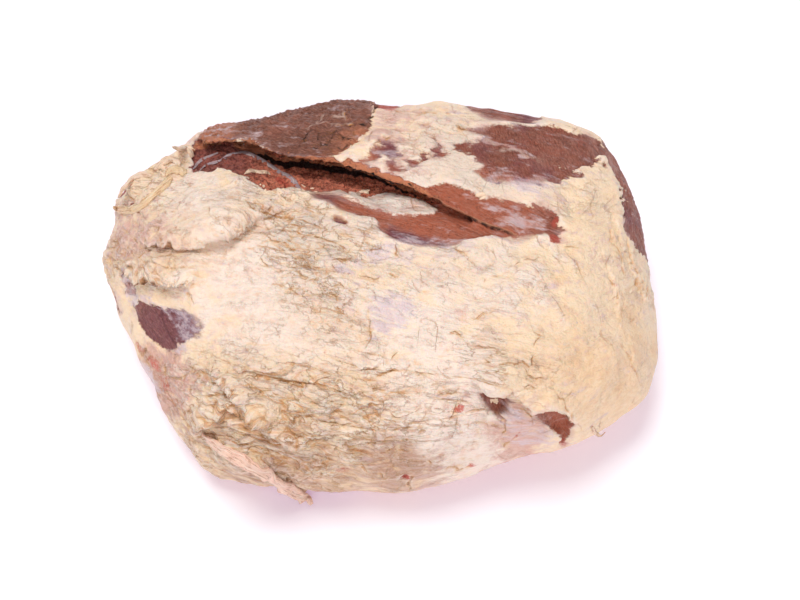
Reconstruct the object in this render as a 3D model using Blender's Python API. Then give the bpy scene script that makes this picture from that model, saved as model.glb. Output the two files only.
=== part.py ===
"""Raw beef inside round, lying on a table with its fat side up: one solid piece of meat.

Sizes in the tables are in millimetres, and the meshes are in metres. +X runs along the cut, +Y away
from its near side and +Z up. The origin is on the table, under the middle of the cut.

The cut is drawn on a chart, a plane that is tipped back from the table and faces the broad near and
upper side. A place on the chart is (across, up): across runs along +X, and up runs up the tilted plane.
Out is the distance from the chart, towards the near and upper side.
"""

import math

import bmesh
import bpy
import numpy as np
from mathutils import Matrix, Vector

MM = 0.001

# The chart: how steeply its outward side looks up, where its middle stands, and how far out the
# point lies that its outward sections taper to, as the lump narrows towards its crown.
CHART_TILT = math.radians(55)
CHART_HEIGHT = 60.0
CHART_TAPER = 1613.0

# The rim, where the upper face turns over to the sides: (across, up, height above the table).
RIM = [
    (-212, 28, 56),
    (-205, 62, 66),
    (-190, 88, 78),
    (-166, 103, 88),
    (-142, 124, 98),
    (-109, 130, 104),
    (-73, 139, 108),
    (-40, 145, 110),
    (0, 142, 110),
    (45, 142, 110),
    (87, 136, 106),
    (127, 128, 98),
    (147, 117, 90),
    (164, 90, 78),
    (175, 62, 66),
    (181, 28, 56),
    (185, -7, 48),
    (187, -36, 42),
    (179, -69, 38),
    (152, -90, 38),
    (123, -107, 38),
    (86, -112, 32),
    (46, -129, 20),
    (8, -140, 13),
    (-36, -138, 12),
    (-80, -136, 12),
    (-116, -132, 14),
    (-145, -117, 20),
    (-166, -88, 30),
    (-187, -46, 42),
    (-205, -9, 50),
]
MIDDLE = (-11.0, 2.0)  # where the upper face is grown from, on the chart

# The crown of the upper face, and how it rolls over: a power of 2 is round, and 4 is a squarer
# shoulder. The underside hangs below the rim, and the table flattens it.
CROWN_HEIGHT = 131.0
NEAR_SHOULDER = 2.1
FAR_SHOULDER = 4.2
NEAR_FALL = 0.66
FAR_FALL = 0.5
KEEL_HEIGHT = -11.0

# Swellings and hollows of the upper face: (across, up, half width, half length, turn in degrees, out).
SWELLS = [
    (-46, 124, 34, 14, 14, 7),
    (-112, 122, 34, 9, 8, 3),
    (24, 104, 60, 18, -20, 5),
    (-140, 66, 44, 20, 22, 9),
    (-182, 44, 18, 12, 20, 4),
    (-176, 26, 28, 9, -6, 6),
    (-190, -22, 12, 16, -20, -5),
    (-168, -20, 16, 20, 40, -4),
    (-140, -66, 20, 26, -30, 6),
    (-118, -96, 40, 14, -30, 6),
    (-62, -42, 40, 18, 6, 3),
    (2, -6, 26, 20, 0, -4),
    (112, -18, 44, 44, 0, 5),
    (118, 108, 42, 14, -8, -4),
    (60, 88, 40, 10, -14, -3),
    (30, -92, 32, 18, 8, 6),
    (-34, -112, 40, 16, 0, 4),
    (66, -52, 34, 10, 0, 3),
    (168, -40, 12, 30, 6, 3),
    (-10, 52, 50, 10, -12, 3),
]

# Folds: the lower edge of a lobe of fat that overlaps what lies below it, its height, and how far the
# lobe stays raised above that edge. A fold that is drawn downwards is raised on its other side.
FOLDS = [
    ([(-190, 33), (-174, 42), (-159, 41), (-140, 45), (-126, 49), (-111, 57), (-89, 63)], 9.0, 34.0),
    ([(-197, 18), (-187, 16), (-179, 17), (-167, 14), (-157, 13), (-148, -4)], 7.0, 16.0),
    ([(-160, -88), (-146, -94), (-134, -84), (-113, -79), (-96, -92)], 5.0, 18.0),
    ([(-142, -50), (-136, -55), (-110, -76), (-74, -103)], 5.0, 20.0),
    ([(56, -66), (80, -66), (98, -78), (112, -84), (126, -88), (128, -104)], 7.0, 30.0),
    ([(156, 108), (152, 94), (161, 84), (165, 68), (164, 52), (172, 40), (182, 20)], -6.0, 26.0),
    ([(-94, 78), (-72, 78), (-46, 76), (-30, 60), (-16, 54), (0, 51), (24, 45), (56, 45)], -4.0, 24.0),
]
FOLD_EDGE = 1.8  # half width of the step at a fold's lower edge
FOLD_ENDS = 2.5  # the larger, the shorter the stretch over which a fold dies away at its ends
FOLD_ENDS_POWER = 0.7

# Creases that run over the fat: (their line, half width, depth).
CREASES = [
    ([(-56, -56), (-31, -53), (-12, -51)], 4.0, 3.5),
    ([(-38, -48), (-18, -50), (0, -58)], 4.0, 3.0),
    ([(28, -22), (44, -26), (59, -22)], 5.0, 2.5),
    ([(53, -34), (76, -40), (103, -53)], 5.0, 3.0),
    ([(-150, -40), (-124, -52), (-92, -64), (-66, -66)], 5.0, 3.5),
    ([(-134, -64), (-104, -92), (-84, -112)], 5.0, 3.5),
    ([(-70, 50), (-44, 22), (-22, 6), (-8, -10)], 6.0, 2.5),
    ([(-12, -96), (-2, -112), (2, -134)], 5.0, 3.5),
    ([(38, -98), (48, -112), (50, -124)], 5.0, 3.0),
    ([(-62, -92), (-58, -112), (-52, -132)], 6.0, 3.0),
    ([(156, -20), (164, -44), (160, -70)], 5.0, 3.0),
    ([(140, 30), (152, 6), (154, -24)], 6.0, 2.5),
    ([(-17, 134), (-22, 124), (-28, 116), (-38, 109)], 3.0, 4.0),
]

# Two pockets near the lower edge, where the fat is torn away from the lean: like SWELLS.
POCKETS = [
    (69, -76, 14, 7, -10, -8),
    (118, -93, 11, 13, -40, -10),
    (92, -94, 24, 10, -12, -4),
]

# The lean side, which is turned to the table and away: its seams between muscles, like CREASES, and
# its bulging muscles, like SWELLS.
BACK_SEAMS = [
    ([(-182, 70), (-134, 104), (-56, 121), (30, 120), (104, 112), (150, 84)], 7.0, 8.0),
    ([(-66, 138), (-52, 112), (-34, 60)], 7.0, 6.0),
    ([(92, 130), (84, 100), (64, 40)], 7.0, 6.0),
    ([(-150, 20), (-60, 46), (40, 34), (110, 0)], 9.0, 6.0),
]
BACK_SWELLS = [
    (-110, 84, 44, 18, 20, -8),
    (16, 100, 50, 18, 0, -9),
    (-10, 134, 40, 9, 0, -5),
    (128, 70, 30, 36, 0, -7),
    (-170, 10, 30, 50, 0, -5),
    (160, -20, 26, 40, 0, -6),
    (-60, -100, 70, 26, 0, -4),
]

# Unevenness of the whole skin: long and short waves, as length and height.
WAVES = [(74, 1.1), (46, 0.9), (29, 0.7), (19, 0.5)]
WAVE_DIRECTIONS = 3
WAVE_BEND = 0.35  # how far the crests wander, as a share of their length
WAVE_SEED = 7

# The cleft under the cap muscle: across, up of the lower lip, up of the cap's hanging edge, how deep
# the cleft goes inwards, and how far it reaches on under the cap.
CLEFT = [
    (-158, 94, 108, 12, 6),
    (-144, 92, 110, 20, 8),
    (-128, 92, 114, 28, 9),
    (-112, 88, 113, 34, 12),
    (-98, 80, 108, 42, 18),
    (-84, 78, 103, 48, 22),
    (-66, 78, 100, 52, 24),
    (-48, 76, 98, 52, 24),
    (-30, 70, 92, 48, 22),
    (-12, 65, 86, 42, 20),
    (6, 63, 80, 36, 18),
    (26, 61, 71, 28, 12),
    (46, 55, 62, 19, 6),
    (64, 48, 55, 13, 2),
    (85, 40, 47, 8, 0),
]
CLEFT_CORNERS = [
    # (share of the way from lip to edge, share of the reach under the cap, share of the depth)
    (0.0, 0.0, 0.02),
    (0.3, 0.0, 0.38),
    (0.7, 0.0, 0.66),
    (1.0, 0.2, 0.86),
    (1.0, 1.0, 1.0),
    (1.0, 0.8, 0.62),
]
CAP_EDGE = 6.0  # thickness of the cap's hanging edge
SHALLOW = 10.0  # where the cleft is no deeper than this, the cap has no hanging edge
SHALLOW_TO_DEEP = 20.0  # and this much deeper, the edge is whole
CLEFT_SAMPLES = 60
ABOVE_FACE = 16.0  # how far the cut stands out of the face, to pass through it all

# The sinew strip that hangs over the near edge, and the tendon in the torn end: (across, up, out, radius).
SINEW = [
    (-146, -95, 1, 3.0),
    (-136, -101, 4, 4.2),
    (-120, -109, 7, 4.8),
    (-103, -119, 8, 4.6),
    (-88, -129, 6, 4.4),
    (-77, -138, 1, 4.4),
    (-68, -146, -8, 4.2),
]
TENDON = [
    (-160, 98, 2, 5.0),
    (-171, 86, 3, 5.5),
    (-182, 74, 2, 5.5),
    (-192, 66, 0, 5.0),
    (-202, 65, -5, 4.5),
    (-206, 62, -9, 4.0),
]

CORD_SAMPLES = 28
CORD_CORNERS = 3  # points on each quarter turn of a cord, between its ends

# Lobes of the torn end: (across, up, out from the face, radii across, up and out, turn in degrees).
END_LOBES = [
    (-186, 82, -7, 17, 9, 11, 40),
    (-199, 73, -13, 11, 7, 10, 62),
    (-170, 95, -5, 14, 7, 9, 32),
    (-157, 104, -6, 10, 6, 8, 20),
]
LOBE_SEGMENTS = 24
LOBE_RINGS = 16

# How finely all this is worked out. Lengths are in millimetres.
RIM_SAMPLES = 720
LINE_SAMPLES = 40
FAR_AWAY = 1e9
RIM_CALM = 12  # the relief dies away towards the rim by this power
BUMP_FALL = 1.2
DEEPEST = 0.5  # share of the thickness that a hollow of the upper face may take
BACK_DEEPEST = 0.25  # and one of the lean side
GRID_HALF = 84  # cells from the middle of the upper face to its rim
WELD = 0.02  # points this near each other are one
VOXEL = 2.0
SMOOTH_FACTOR = 0.5
SMOOTH_ROUNDS = 7
FACES = 11400
TABLE_TOUCH = 0.5  # points this near the table come to lie on it

# What the meat is made of: cream fat outside, and brown-red lean on the side that faces away.
FAT_COLOUR = (0.80, 0.61, 0.45, 1.0)
FAT_ROUGHNESS = 0.55
LEAN_COLOUR = (0.30, 0.10, 0.07, 1.0)
LEAN_ROUGHNESS = 0.45


def closed_curve(rows, samples):
    """Catmull-Rom curve through the rows of numbers, closed on itself, as an array."""
    table = np.array(rows, float)
    count = len(table)
    t = np.arange(samples) * count / samples
    cell = t.astype(int)
    f = (t - cell)[:, None]
    a, b, c, d = (table[(cell + k) % count] for k in (-1, 0, 1, 2))
    return 0.5 * (2 * b + (c - a) * f + (2 * a - 5 * b + 4 * c - d) * f**2 + (3 * b - a - 3 * c + d) * f**3)


def open_curve(rows, samples):
    """Catmull-Rom curve through the rows of numbers, from the first to the last, as an array."""
    table = np.array(rows, float)
    table = np.vstack([2 * table[0] - table[1], table, 2 * table[-1] - table[-2]])
    t = np.linspace(0, len(table) - 3, samples)
    cell = np.minimum(t.astype(int), len(table) - 4)
    f = (t - cell)[:, None]
    a, b, c, d = (table[cell + k] for k in range(4))
    return 0.5 * (2 * b + (c - a) * f + (2 * a - 5 * b + 4 * c - d) * f**2 + (3 * b - a - 3 * c + d) * f**3)


def chart_to_space(across, up, out):
    """Metres in the part's frame, from millimetres on and out of the chart."""
    taper = 1 - out / CHART_TAPER
    x = across * taper
    y = up * taper * math.sin(CHART_TILT) - out * math.cos(CHART_TILT)
    z = CHART_HEIGHT + up * taper * math.cos(CHART_TILT) + out * math.sin(CHART_TILT)
    return np.stack([x, y, z], -1) * MM


def out_at_height(up, height):
    """How far out of the chart a point of that height above the table lies."""
    rise = math.cos(CHART_TILT)
    return (height - CHART_HEIGHT - up * rise) / (math.sin(CHART_TILT) - up * rise / CHART_TAPER)


def rim_at(angle):
    """Distance from the middle and height above the table of the rim, at angles round the middle."""
    curve = closed_curve(RIM, RIM_SAMPLES)
    arm = curve[:, :2] - MIDDLE
    turn = np.arctan2(arm[:, 1], arm[:, 0])
    order = np.argsort(turn)
    reach = np.hypot(arm[:, 0], arm[:, 1])[order]
    height = curve[:, 2][order]
    turn = turn[order]
    return (
        np.interp(angle, turn, reach, period=2 * math.pi),
        np.interp(angle, turn, height, period=2 * math.pi),
    )


def bump(across, up, row):
    """A rounded swelling or hollow, one over its middle and nothing at twice its half sizes."""
    x, w, wide, long, turn, _ = row
    c, s = math.cos(math.radians(turn)), math.sin(math.radians(turn))
    dx, dw = across - x, up - w
    r2 = ((dx * c + dw * s) / wide) ** 2 + ((dw * c - dx * s) / long) ** 2
    return np.exp(-r2 * BUMP_FALL)


def beside_line(across, up, points):
    """Signed distance to a curve, above it positive, and the share of its length that is alongside."""
    line = open_curve(points, LINE_SAMPLES)
    place = np.stack([across, up], -1)
    nearest = np.full(len(place), FAR_AWAY)
    side = np.zeros(len(place))
    along = np.zeros(len(place))
    for k, (a, b) in enumerate(zip(line[:-1], line[1:])):
        step = b - a
        share = np.clip((place - a) @ step / (step @ step), 0, 1)
        gap = place - a - share[:, None] * step
        distance = np.hypot(gap[:, 0], gap[:, 1])
        closer = distance < nearest
        nearest = np.where(closer, distance, nearest)
        turn = step[0] * (place[:, 1] - a[1]) - step[1] * (place[:, 0] - a[0])
        side = np.where(closer, np.sign(turn), side)
        along = np.where(closer, (k + share) / (len(line) - 1), along)
    return nearest * side, np.clip(along, 0, 1)


def groove(across, up, rows):
    """Millimetres that creases or seams, as (line, half width, depth), take away."""
    out = np.zeros_like(across)
    for points, width, depth in rows:
        distance, along = beside_line(across, up, points)
        ends = np.sin(np.pi * along) ** 0.5
        out = out - depth * np.exp(-((distance / width) ** 2)) * ends
    return out


def overlap(across, up, rows):
    """Millimetres that folds, as (lower edge, height, reach), add above their edges."""
    out = np.zeros_like(across)
    for points, height, reach in rows:
        distance, along = beside_line(across, up, points)
        rise = 0.5 + 0.5 * np.tanh(distance / FOLD_EDGE)
        fade = np.exp(-((np.maximum(distance, 0) / reach) ** 2))
        ends = np.clip(FOLD_ENDS * np.sin(np.pi * along), 0, 1) ** FOLD_ENDS_POWER
        out = out + height * rise * fade * ends
    return out


def waves(across, up):
    """Millimetres of gentle unevenness: crossing waves in seeded directions."""
    draw = np.random.default_rng(WAVE_SEED)
    out = np.zeros_like(across)
    for length, height in WAVES:
        turns = draw.uniform(0, math.pi, WAVE_DIRECTIONS)
        starts = draw.uniform(0, 2 * math.pi, WAVE_DIRECTIONS)
        for turn, start in zip(turns, starts):
            along = across * math.cos(turn) + up * math.sin(turn)
            aside = across * math.sin(turn) - up * math.cos(turn)
            bend = WAVE_BEND * length * np.sin(aside / length)
            out = out + height / 2 * np.sin(2 * math.pi * (along + bend) / length + start)
    return out


def relief(across, up):
    """Millimetres that the upper face stands out of its smooth form."""
    swells = sum(row[-1] * bump(across, up, row) for row in SWELLS + POCKETS)
    return swells + overlap(across, up, FOLDS) + groove(across, up, CREASES) + waves(across, up)


def back_relief(across, up):
    """Millimetres that the lean side lies in from its smooth form, so outwards is negative."""
    swells = sum(row[-1] * bump(across, up, row) for row in BACK_SWELLS)
    return swells - groove(across, up, BACK_SEAMS) + waves(up, across)


def disc_grid():
    """Points of a square grid pressed into a unit disc, as radius and angle."""
    line = np.linspace(-1, 1, 2 * GRID_HALF + 1)
    a, b = np.meshgrid(line, line, indexing="ij")
    radius = np.maximum(abs(a), abs(b))
    wide = abs(a) >= abs(b)
    with np.errstate(divide="ignore", invalid="ignore"):
        turn = np.where(wide, b / a * math.pi / 4, math.pi / 2 - a / b * math.pi / 4)
    turn = np.where((wide & (a < 0)) | (~wide & (b < 0)), turn + math.pi, turn)
    return radius, np.where(radius == 0, 0.0, turn)


def body_points():
    """The upper face and the underside over the same grid, meeting at the rim."""
    radius, turn = disc_grid()
    swing = np.arctan2(np.sin(turn), np.cos(turn))
    reach, rim_height = rim_at(swing)
    share = np.sin(radius * math.pi / 2)
    across = MIDDLE[0] + share * reach * np.cos(swing)
    up = MIDDLE[1] + share * reach * np.sin(swing)
    far = 0.5 + 0.5 * np.sin(swing)
    shoulder = NEAR_SHOULDER + (FAR_SHOULDER - NEAR_SHOULDER) * far
    fall = NEAR_FALL + (FAR_FALL - NEAR_FALL) * far
    roll = np.clip(1 - share**shoulder, 0, 1) ** fall
    top = out_at_height(up, rim_height + (CROWN_HEIGHT - rim_height) * roll)
    hang = np.sqrt(np.clip(1 - share**2, 0, 1))
    bottom = out_at_height(up, rim_height + (KEEL_HEIGHT - rim_height) * hang)
    flat = across.ravel(), up.ravel()
    raised = relief(*flat).reshape(across.shape) * (1 - share**RIM_CALM)
    raised = np.maximum(raised, DEEPEST * (bottom - top))
    sunk = back_relief(*flat).reshape(across.shape) * (1 - share**RIM_CALM)
    sunk = np.minimum(sunk, BACK_DEEPEST * (top - bottom))
    upper = chart_to_space(across, up, top + raised)
    under = chart_to_space(across, up, bottom + sunk)
    return upper, under


def new_object(name, mesh):
    made = bpy.data.objects.new(name, mesh)
    bpy.context.scene.collection.objects.link(made)
    return made


def make_body():
    """The lump itself: two grids of quads, welded along the rim."""
    upper, under = body_points()
    side = upper.shape[0]
    index = np.arange(side * side).reshape(side, side)
    quads = np.stack([index[:-1, :-1], index[1:, :-1], index[1:, 1:], index[:-1, 1:]], -1).reshape(-1, 4)
    points = np.vstack([upper.reshape(-1, 3), under.reshape(-1, 3)])
    mesh = bpy.data.meshes.new("body")
    mesh.from_pydata(points.tolist(), [], quads.tolist() + (quads[:, ::-1] + side * side).tolist())
    work = bmesh.new()
    work.from_mesh(mesh)
    bmesh.ops.remove_doubles(work, verts=work.verts, dist=WELD * MM)
    bmesh.ops.recalc_face_normals(work, faces=work.faces)
    work.to_mesh(mesh)
    work.free()
    return new_object("body", mesh)


def face_out(across, up):
    """How far out the upper face lies at one place of the chart."""
    dx, dw = across - MIDDLE[0], up - MIDDLE[1]
    swing = math.atan2(dw, dx)
    reach, rim_height = (float(v) for v in rim_at(swing))
    share = min(math.hypot(dx, dw) / reach, 1.0)
    far = 0.5 + 0.5 * math.sin(swing)
    shoulder = NEAR_SHOULDER + (FAR_SHOULDER - NEAR_SHOULDER) * far
    fall = NEAR_FALL + (FAR_FALL - NEAR_FALL) * far
    height = rim_height + (CROWN_HEIGHT - rim_height) * (1 - share**shoulder) ** fall
    place = np.array([float(across)]), np.array([float(up)])
    return out_at_height(up, height) + float(relief(*place)[0]) * (1 - share**RIM_CALM)


def make_lobe(row, number):
    """One rounded lobe of fat at the torn end."""
    across, up, out, wide, long, deep, turn = row
    mesh = bpy.data.meshes.new(f"end_lobe_{number}")
    work = bmesh.new()
    bmesh.ops.create_uvsphere(work, u_segments=LOBE_SEGMENTS, v_segments=LOBE_RINGS, radius=1.0)
    tip = Matrix.Rotation(math.pi / 2 - CHART_TILT, 4, "X")
    spin = Matrix.Rotation(math.radians(turn), 4, "Z")
    size = Matrix.Diagonal((wide * MM, long * MM, deep * MM, 1))
    middle = chart_to_space(across, up, face_out(across, up) + out)
    bmesh.ops.transform(work, matrix=Matrix.Translation(middle) @ tip @ spin @ size, verts=work.verts)
    work.to_mesh(mesh)
    work.free()
    return new_object(f"end_lobe_{number}", mesh)


def make_cord(name, rows):
    """A strip of sinew: a round tube on a smooth line, thicker in its middle, with closed ends."""
    line = open_curve(rows, CORD_SAMPLES)
    curve = bpy.data.curves.new(name, "CURVE")
    curve.dimensions = "3D"
    curve.bevel_depth = MM
    curve.bevel_resolution = CORD_CORNERS
    curve.use_fill_caps = True
    spline = curve.splines.new("POLY")
    spline.points.add(len(line) - 1)
    for point, (across, up, out, radius) in zip(spline.points, line):
        place = chart_to_space(across, up, face_out(across, up) + out)
        point.co = (*place, 1)
        point.radius = radius
    guide = new_object(name + "_line", curve)
    bpy.context.view_layer.update()
    mesh = bpy.data.meshes.new_from_object(guide.evaluated_get(bpy.context.evaluated_depsgraph_get()))
    bpy.data.objects.remove(guide)
    work = bmesh.new()
    work.from_mesh(mesh)
    bmesh.ops.remove_doubles(work, verts=work.verts, dist=WELD * MM)
    bmesh.ops.recalc_face_normals(work, faces=work.faces)
    work.to_mesh(mesh)
    work.free()
    return new_object(name, mesh)


def cleft_section(across, lip, edge, depth, under):
    """Corners of the cleft at one station, from its lower lip round by its floor to the cap's edge."""
    at_lip, at_edge = face_out(across, lip), face_out(across, edge)
    corners = [(lip, at_lip + ABOVE_FACE)]
    for way, reach, share in CLEFT_CORNERS:
        face = at_lip + way * (at_edge - at_lip)
        corners.append((lip + way * (edge - lip) + reach * under, face - share * depth))
    roof = CAP_EDGE * min(max((depth - SHALLOW) / SHALLOW_TO_DEEP, 0), 1)
    return corners + [(edge, at_edge - roof), (edge, at_edge + ABOVE_FACE)]


def make_cleft():
    """The wedge that is cut out under the cap muscle, lofted from its stations."""
    stations = open_curve(CLEFT, CLEFT_SAMPLES)
    work = bmesh.new()
    rings = []
    for across, lip, edge, depth, under in stations:
        corners = cleft_section(across, lip, edge, depth, under)
        rings.append([work.verts.new(chart_to_space(across, w, out)) for w, out in corners])
    count = len(rings[0])
    for first, second in zip(rings[:-1], rings[1:]):
        for k in range(count):
            work.faces.new([first[k], first[(k + 1) % count], second[(k + 1) % count], second[k]])
    work.faces.new(rings[0][::-1])
    work.faces.new(rings[-1])
    bmesh.ops.triangulate(work, faces=work.faces)
    bmesh.ops.recalc_face_normals(work, faces=work.faces)
    mesh = bpy.data.meshes.new("cleft")
    work.to_mesh(mesh)
    work.free()
    cutter = new_object("cleft", mesh)
    cutter.hide_render = True
    cutter.display_type = "WIRE"
    return cutter


def applied(made):
    """The object's mesh with its modifiers worked in, and the modifiers taken off."""
    bpy.context.view_layer.update()
    graph = bpy.context.evaluated_depsgraph_get()
    mesh = bpy.data.meshes.new_from_object(made.evaluated_get(graph))
    made.modifiers.clear()
    made.data = mesh
    return made


def join_pieces(body, pieces, cleft):
    """Cuts the cleft out of the body, and fuses lobes, sinew and tendon to it."""
    group = bpy.data.collections.new("fused")
    bpy.context.scene.collection.children.link(group)
    for piece in pieces:
        group.objects.link(piece)
        bpy.context.scene.collection.objects.unlink(piece)
    cut = body.modifiers.new("cut_cleft", "BOOLEAN")
    cut.operation = "DIFFERENCE"
    cut.object = cleft
    cut.solver = "MANIFOLD"
    fuse = body.modifiers.new("fuse", "BOOLEAN")
    fuse.operation = "UNION"
    fuse.operand_type = "COLLECTION"
    fuse.collection = group
    fuse.solver = "MANIFOLD"
    applied(body)
    for piece in list(group.objects) + [cleft]:
        bpy.data.objects.remove(piece)
    bpy.data.collections.remove(group)


def soften(body):
    """An even skin over the fused lumps, smoothed as soft fat is."""
    skin = body.modifiers.new("skin", "REMESH")
    skin.mode = "VOXEL"
    skin.voxel_size = VOXEL * MM
    smooth = body.modifiers.new("smooth", "SMOOTH")
    smooth.factor = SMOOTH_FACTOR
    smooth.iterations = SMOOTH_ROUNDS
    applied(body)


def flatten_foot(body):
    """Takes away what would lie below the table, which leaves one flat face to rest on."""
    mesh = bpy.data.meshes.new("below_table")
    work = bmesh.new()
    bmesh.ops.create_cube(work, size=1.0)
    bmesh.ops.translate(work, vec=(0, 0, -0.5), verts=work.verts)
    work.to_mesh(mesh)
    work.free()
    block = new_object("below_table", mesh)
    block.hide_render = True
    block.display_type = "WIRE"
    cut = body.modifiers.new("cut_foot", "BOOLEAN")
    cut.operation = "DIFFERENCE"
    cut.object = block
    cut.solver = "MANIFOLD"
    applied(body)
    bpy.data.objects.remove(block)


def thin_out(body):
    """Fewer triangles where the skin is even, and the foot put back exactly on the table."""
    thin = body.modifiers.new("thin", "DECIMATE")
    thin.ratio = FACES / sum(len(face.vertices) - 2 for face in body.data.polygons)
    applied(body)
    for vert in body.data.vertices:
        if vert.co.z < TABLE_TOUCH * MM:
            vert.co.z = 0.0


def centre(body):
    """Puts the origin on the table under the middle of the cut's box."""
    places = np.array([vert.co for vert in body.data.vertices])
    middle = (places.min(axis=0) + places.max(axis=0)) / 2
    body.data.transform(Matrix.Translation((-middle[0], -middle[1], 0)))


def meat_material(name, colour, roughness):
    material = bpy.data.materials.new(name)
    material.use_nodes = True
    shader = material.node_tree.nodes["Principled BSDF"]
    shader.inputs["Base Color"].default_value = colour
    shader.inputs["Roughness"].default_value = roughness
    shader.inputs["Metallic"].default_value = 0.0
    return material


def colour_meat(body):
    """Fat on the faces that look out of the chart, and lean on those that look away from it."""
    body.data.materials.append(meat_material("fat_cover", FAT_COLOUR, FAT_ROUGHNESS))
    body.data.materials.append(meat_material("lean", LEAN_COLOUR, LEAN_ROUGHNESS))
    outward = Vector((0, -math.cos(CHART_TILT), math.sin(CHART_TILT)))
    for face in body.data.polygons:
        face.material_index = 0 if face.normal.dot(outward) > 0 else 1


def main():
    for made in list(bpy.data.objects):
        bpy.data.objects.remove(made)
    body = make_body()
    pieces = [make_lobe(row, number) for number, row in enumerate(END_LOBES)]
    pieces += [make_cord("sinew", SINEW), make_cord("tendon", TENDON)]
    join_pieces(body, pieces, make_cleft())
    soften(body)
    flatten_foot(body)
    thin_out(body)
    centre(body)
    body.name = body.data.name = "beef_inside_round"
    body.data.shade_smooth()
    colour_meat(body)


main()
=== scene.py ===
"""Raw beef inside round, lying fat side up: the look of the whole cut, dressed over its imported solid."""

import math

import bmesh
import bpy
import numpy as np
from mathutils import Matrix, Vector
from mathutils.bvhtree import BVHTree
from mathutils.kdtree import KDTree


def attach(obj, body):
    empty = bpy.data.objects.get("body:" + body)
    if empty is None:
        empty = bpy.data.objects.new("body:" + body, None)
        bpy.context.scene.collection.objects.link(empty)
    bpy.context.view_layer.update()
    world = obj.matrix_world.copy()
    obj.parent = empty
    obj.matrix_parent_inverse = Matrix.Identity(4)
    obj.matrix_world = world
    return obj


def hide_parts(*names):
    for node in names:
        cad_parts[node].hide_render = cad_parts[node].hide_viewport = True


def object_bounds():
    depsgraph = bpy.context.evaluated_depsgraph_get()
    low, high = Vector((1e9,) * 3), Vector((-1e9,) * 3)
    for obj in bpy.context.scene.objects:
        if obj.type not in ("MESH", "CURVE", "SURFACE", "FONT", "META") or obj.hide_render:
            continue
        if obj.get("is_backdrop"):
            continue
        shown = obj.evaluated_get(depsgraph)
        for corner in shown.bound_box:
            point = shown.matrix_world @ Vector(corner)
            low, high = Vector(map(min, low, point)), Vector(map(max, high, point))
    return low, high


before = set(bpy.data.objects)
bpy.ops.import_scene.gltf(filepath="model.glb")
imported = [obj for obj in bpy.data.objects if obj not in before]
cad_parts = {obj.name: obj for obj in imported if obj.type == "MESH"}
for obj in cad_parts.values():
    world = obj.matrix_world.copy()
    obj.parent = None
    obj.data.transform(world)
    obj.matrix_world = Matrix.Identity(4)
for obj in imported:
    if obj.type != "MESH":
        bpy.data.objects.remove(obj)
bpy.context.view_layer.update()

# The point of view
# The camera looks down on the cut at 55 degrees. It looks straight at the chart, the tilted plane on
# which the cut's solid is drawn: a place on the chart is (across, up), and out is towards the camera.
# Chart sizes are in millimetres, and everything else is in metres.
MM = 0.001
CHART_TILT = math.radians(55)
CHART_MIDDLE = np.array([0.0141, -0.0135, 0.0600])
VIEW_DISTANCE = 1613.0
LENS = 100.0
SENSOR = 36.0
ACROSS = np.array([1.0, 0.0, 0.0])
UP = np.array([0.0, math.sin(CHART_TILT), math.cos(CHART_TILT)])
OUT = np.array([0.0, -math.cos(CHART_TILT), math.sin(CHART_TILT)])


def chart_to_space(across, up, out):
    """Metres, from millimetres on and out of the chart. What stands out narrows towards the camera."""
    taper = 1 - np.asarray(out, float) / VIEW_DISTANCE
    flat = np.multiply.outer(across * taper, ACROSS) + np.multiply.outer(up * taper, UP)
    return CHART_MIDDLE + MM * (flat + np.multiply.outer(out, OUT))


def space_to_chart(places):
    """Across, up and out in millimetres, from metres."""
    arm = (places - CHART_MIDDLE) / MM
    out = arm @ OUT
    taper = 1 - out / VIEW_DISTANCE
    return arm @ ACROSS / taper, arm @ UP / taper, out


camera = bpy.data.objects.new("camera", bpy.data.cameras.new("camera"))
camera.data.lens = LENS
camera.data.sensor_width = SENSOR
camera.location = CHART_MIDDLE + OUT * VIEW_DISTANCE * MM
camera.rotation_euler = (math.pi / 2 - CHART_TILT, 0, 0)
bpy.context.scene.collection.objects.link(camera)
bpy.context.scene.camera = camera
bpy.context.scene.view_settings.view_transform = "Standard"


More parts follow.
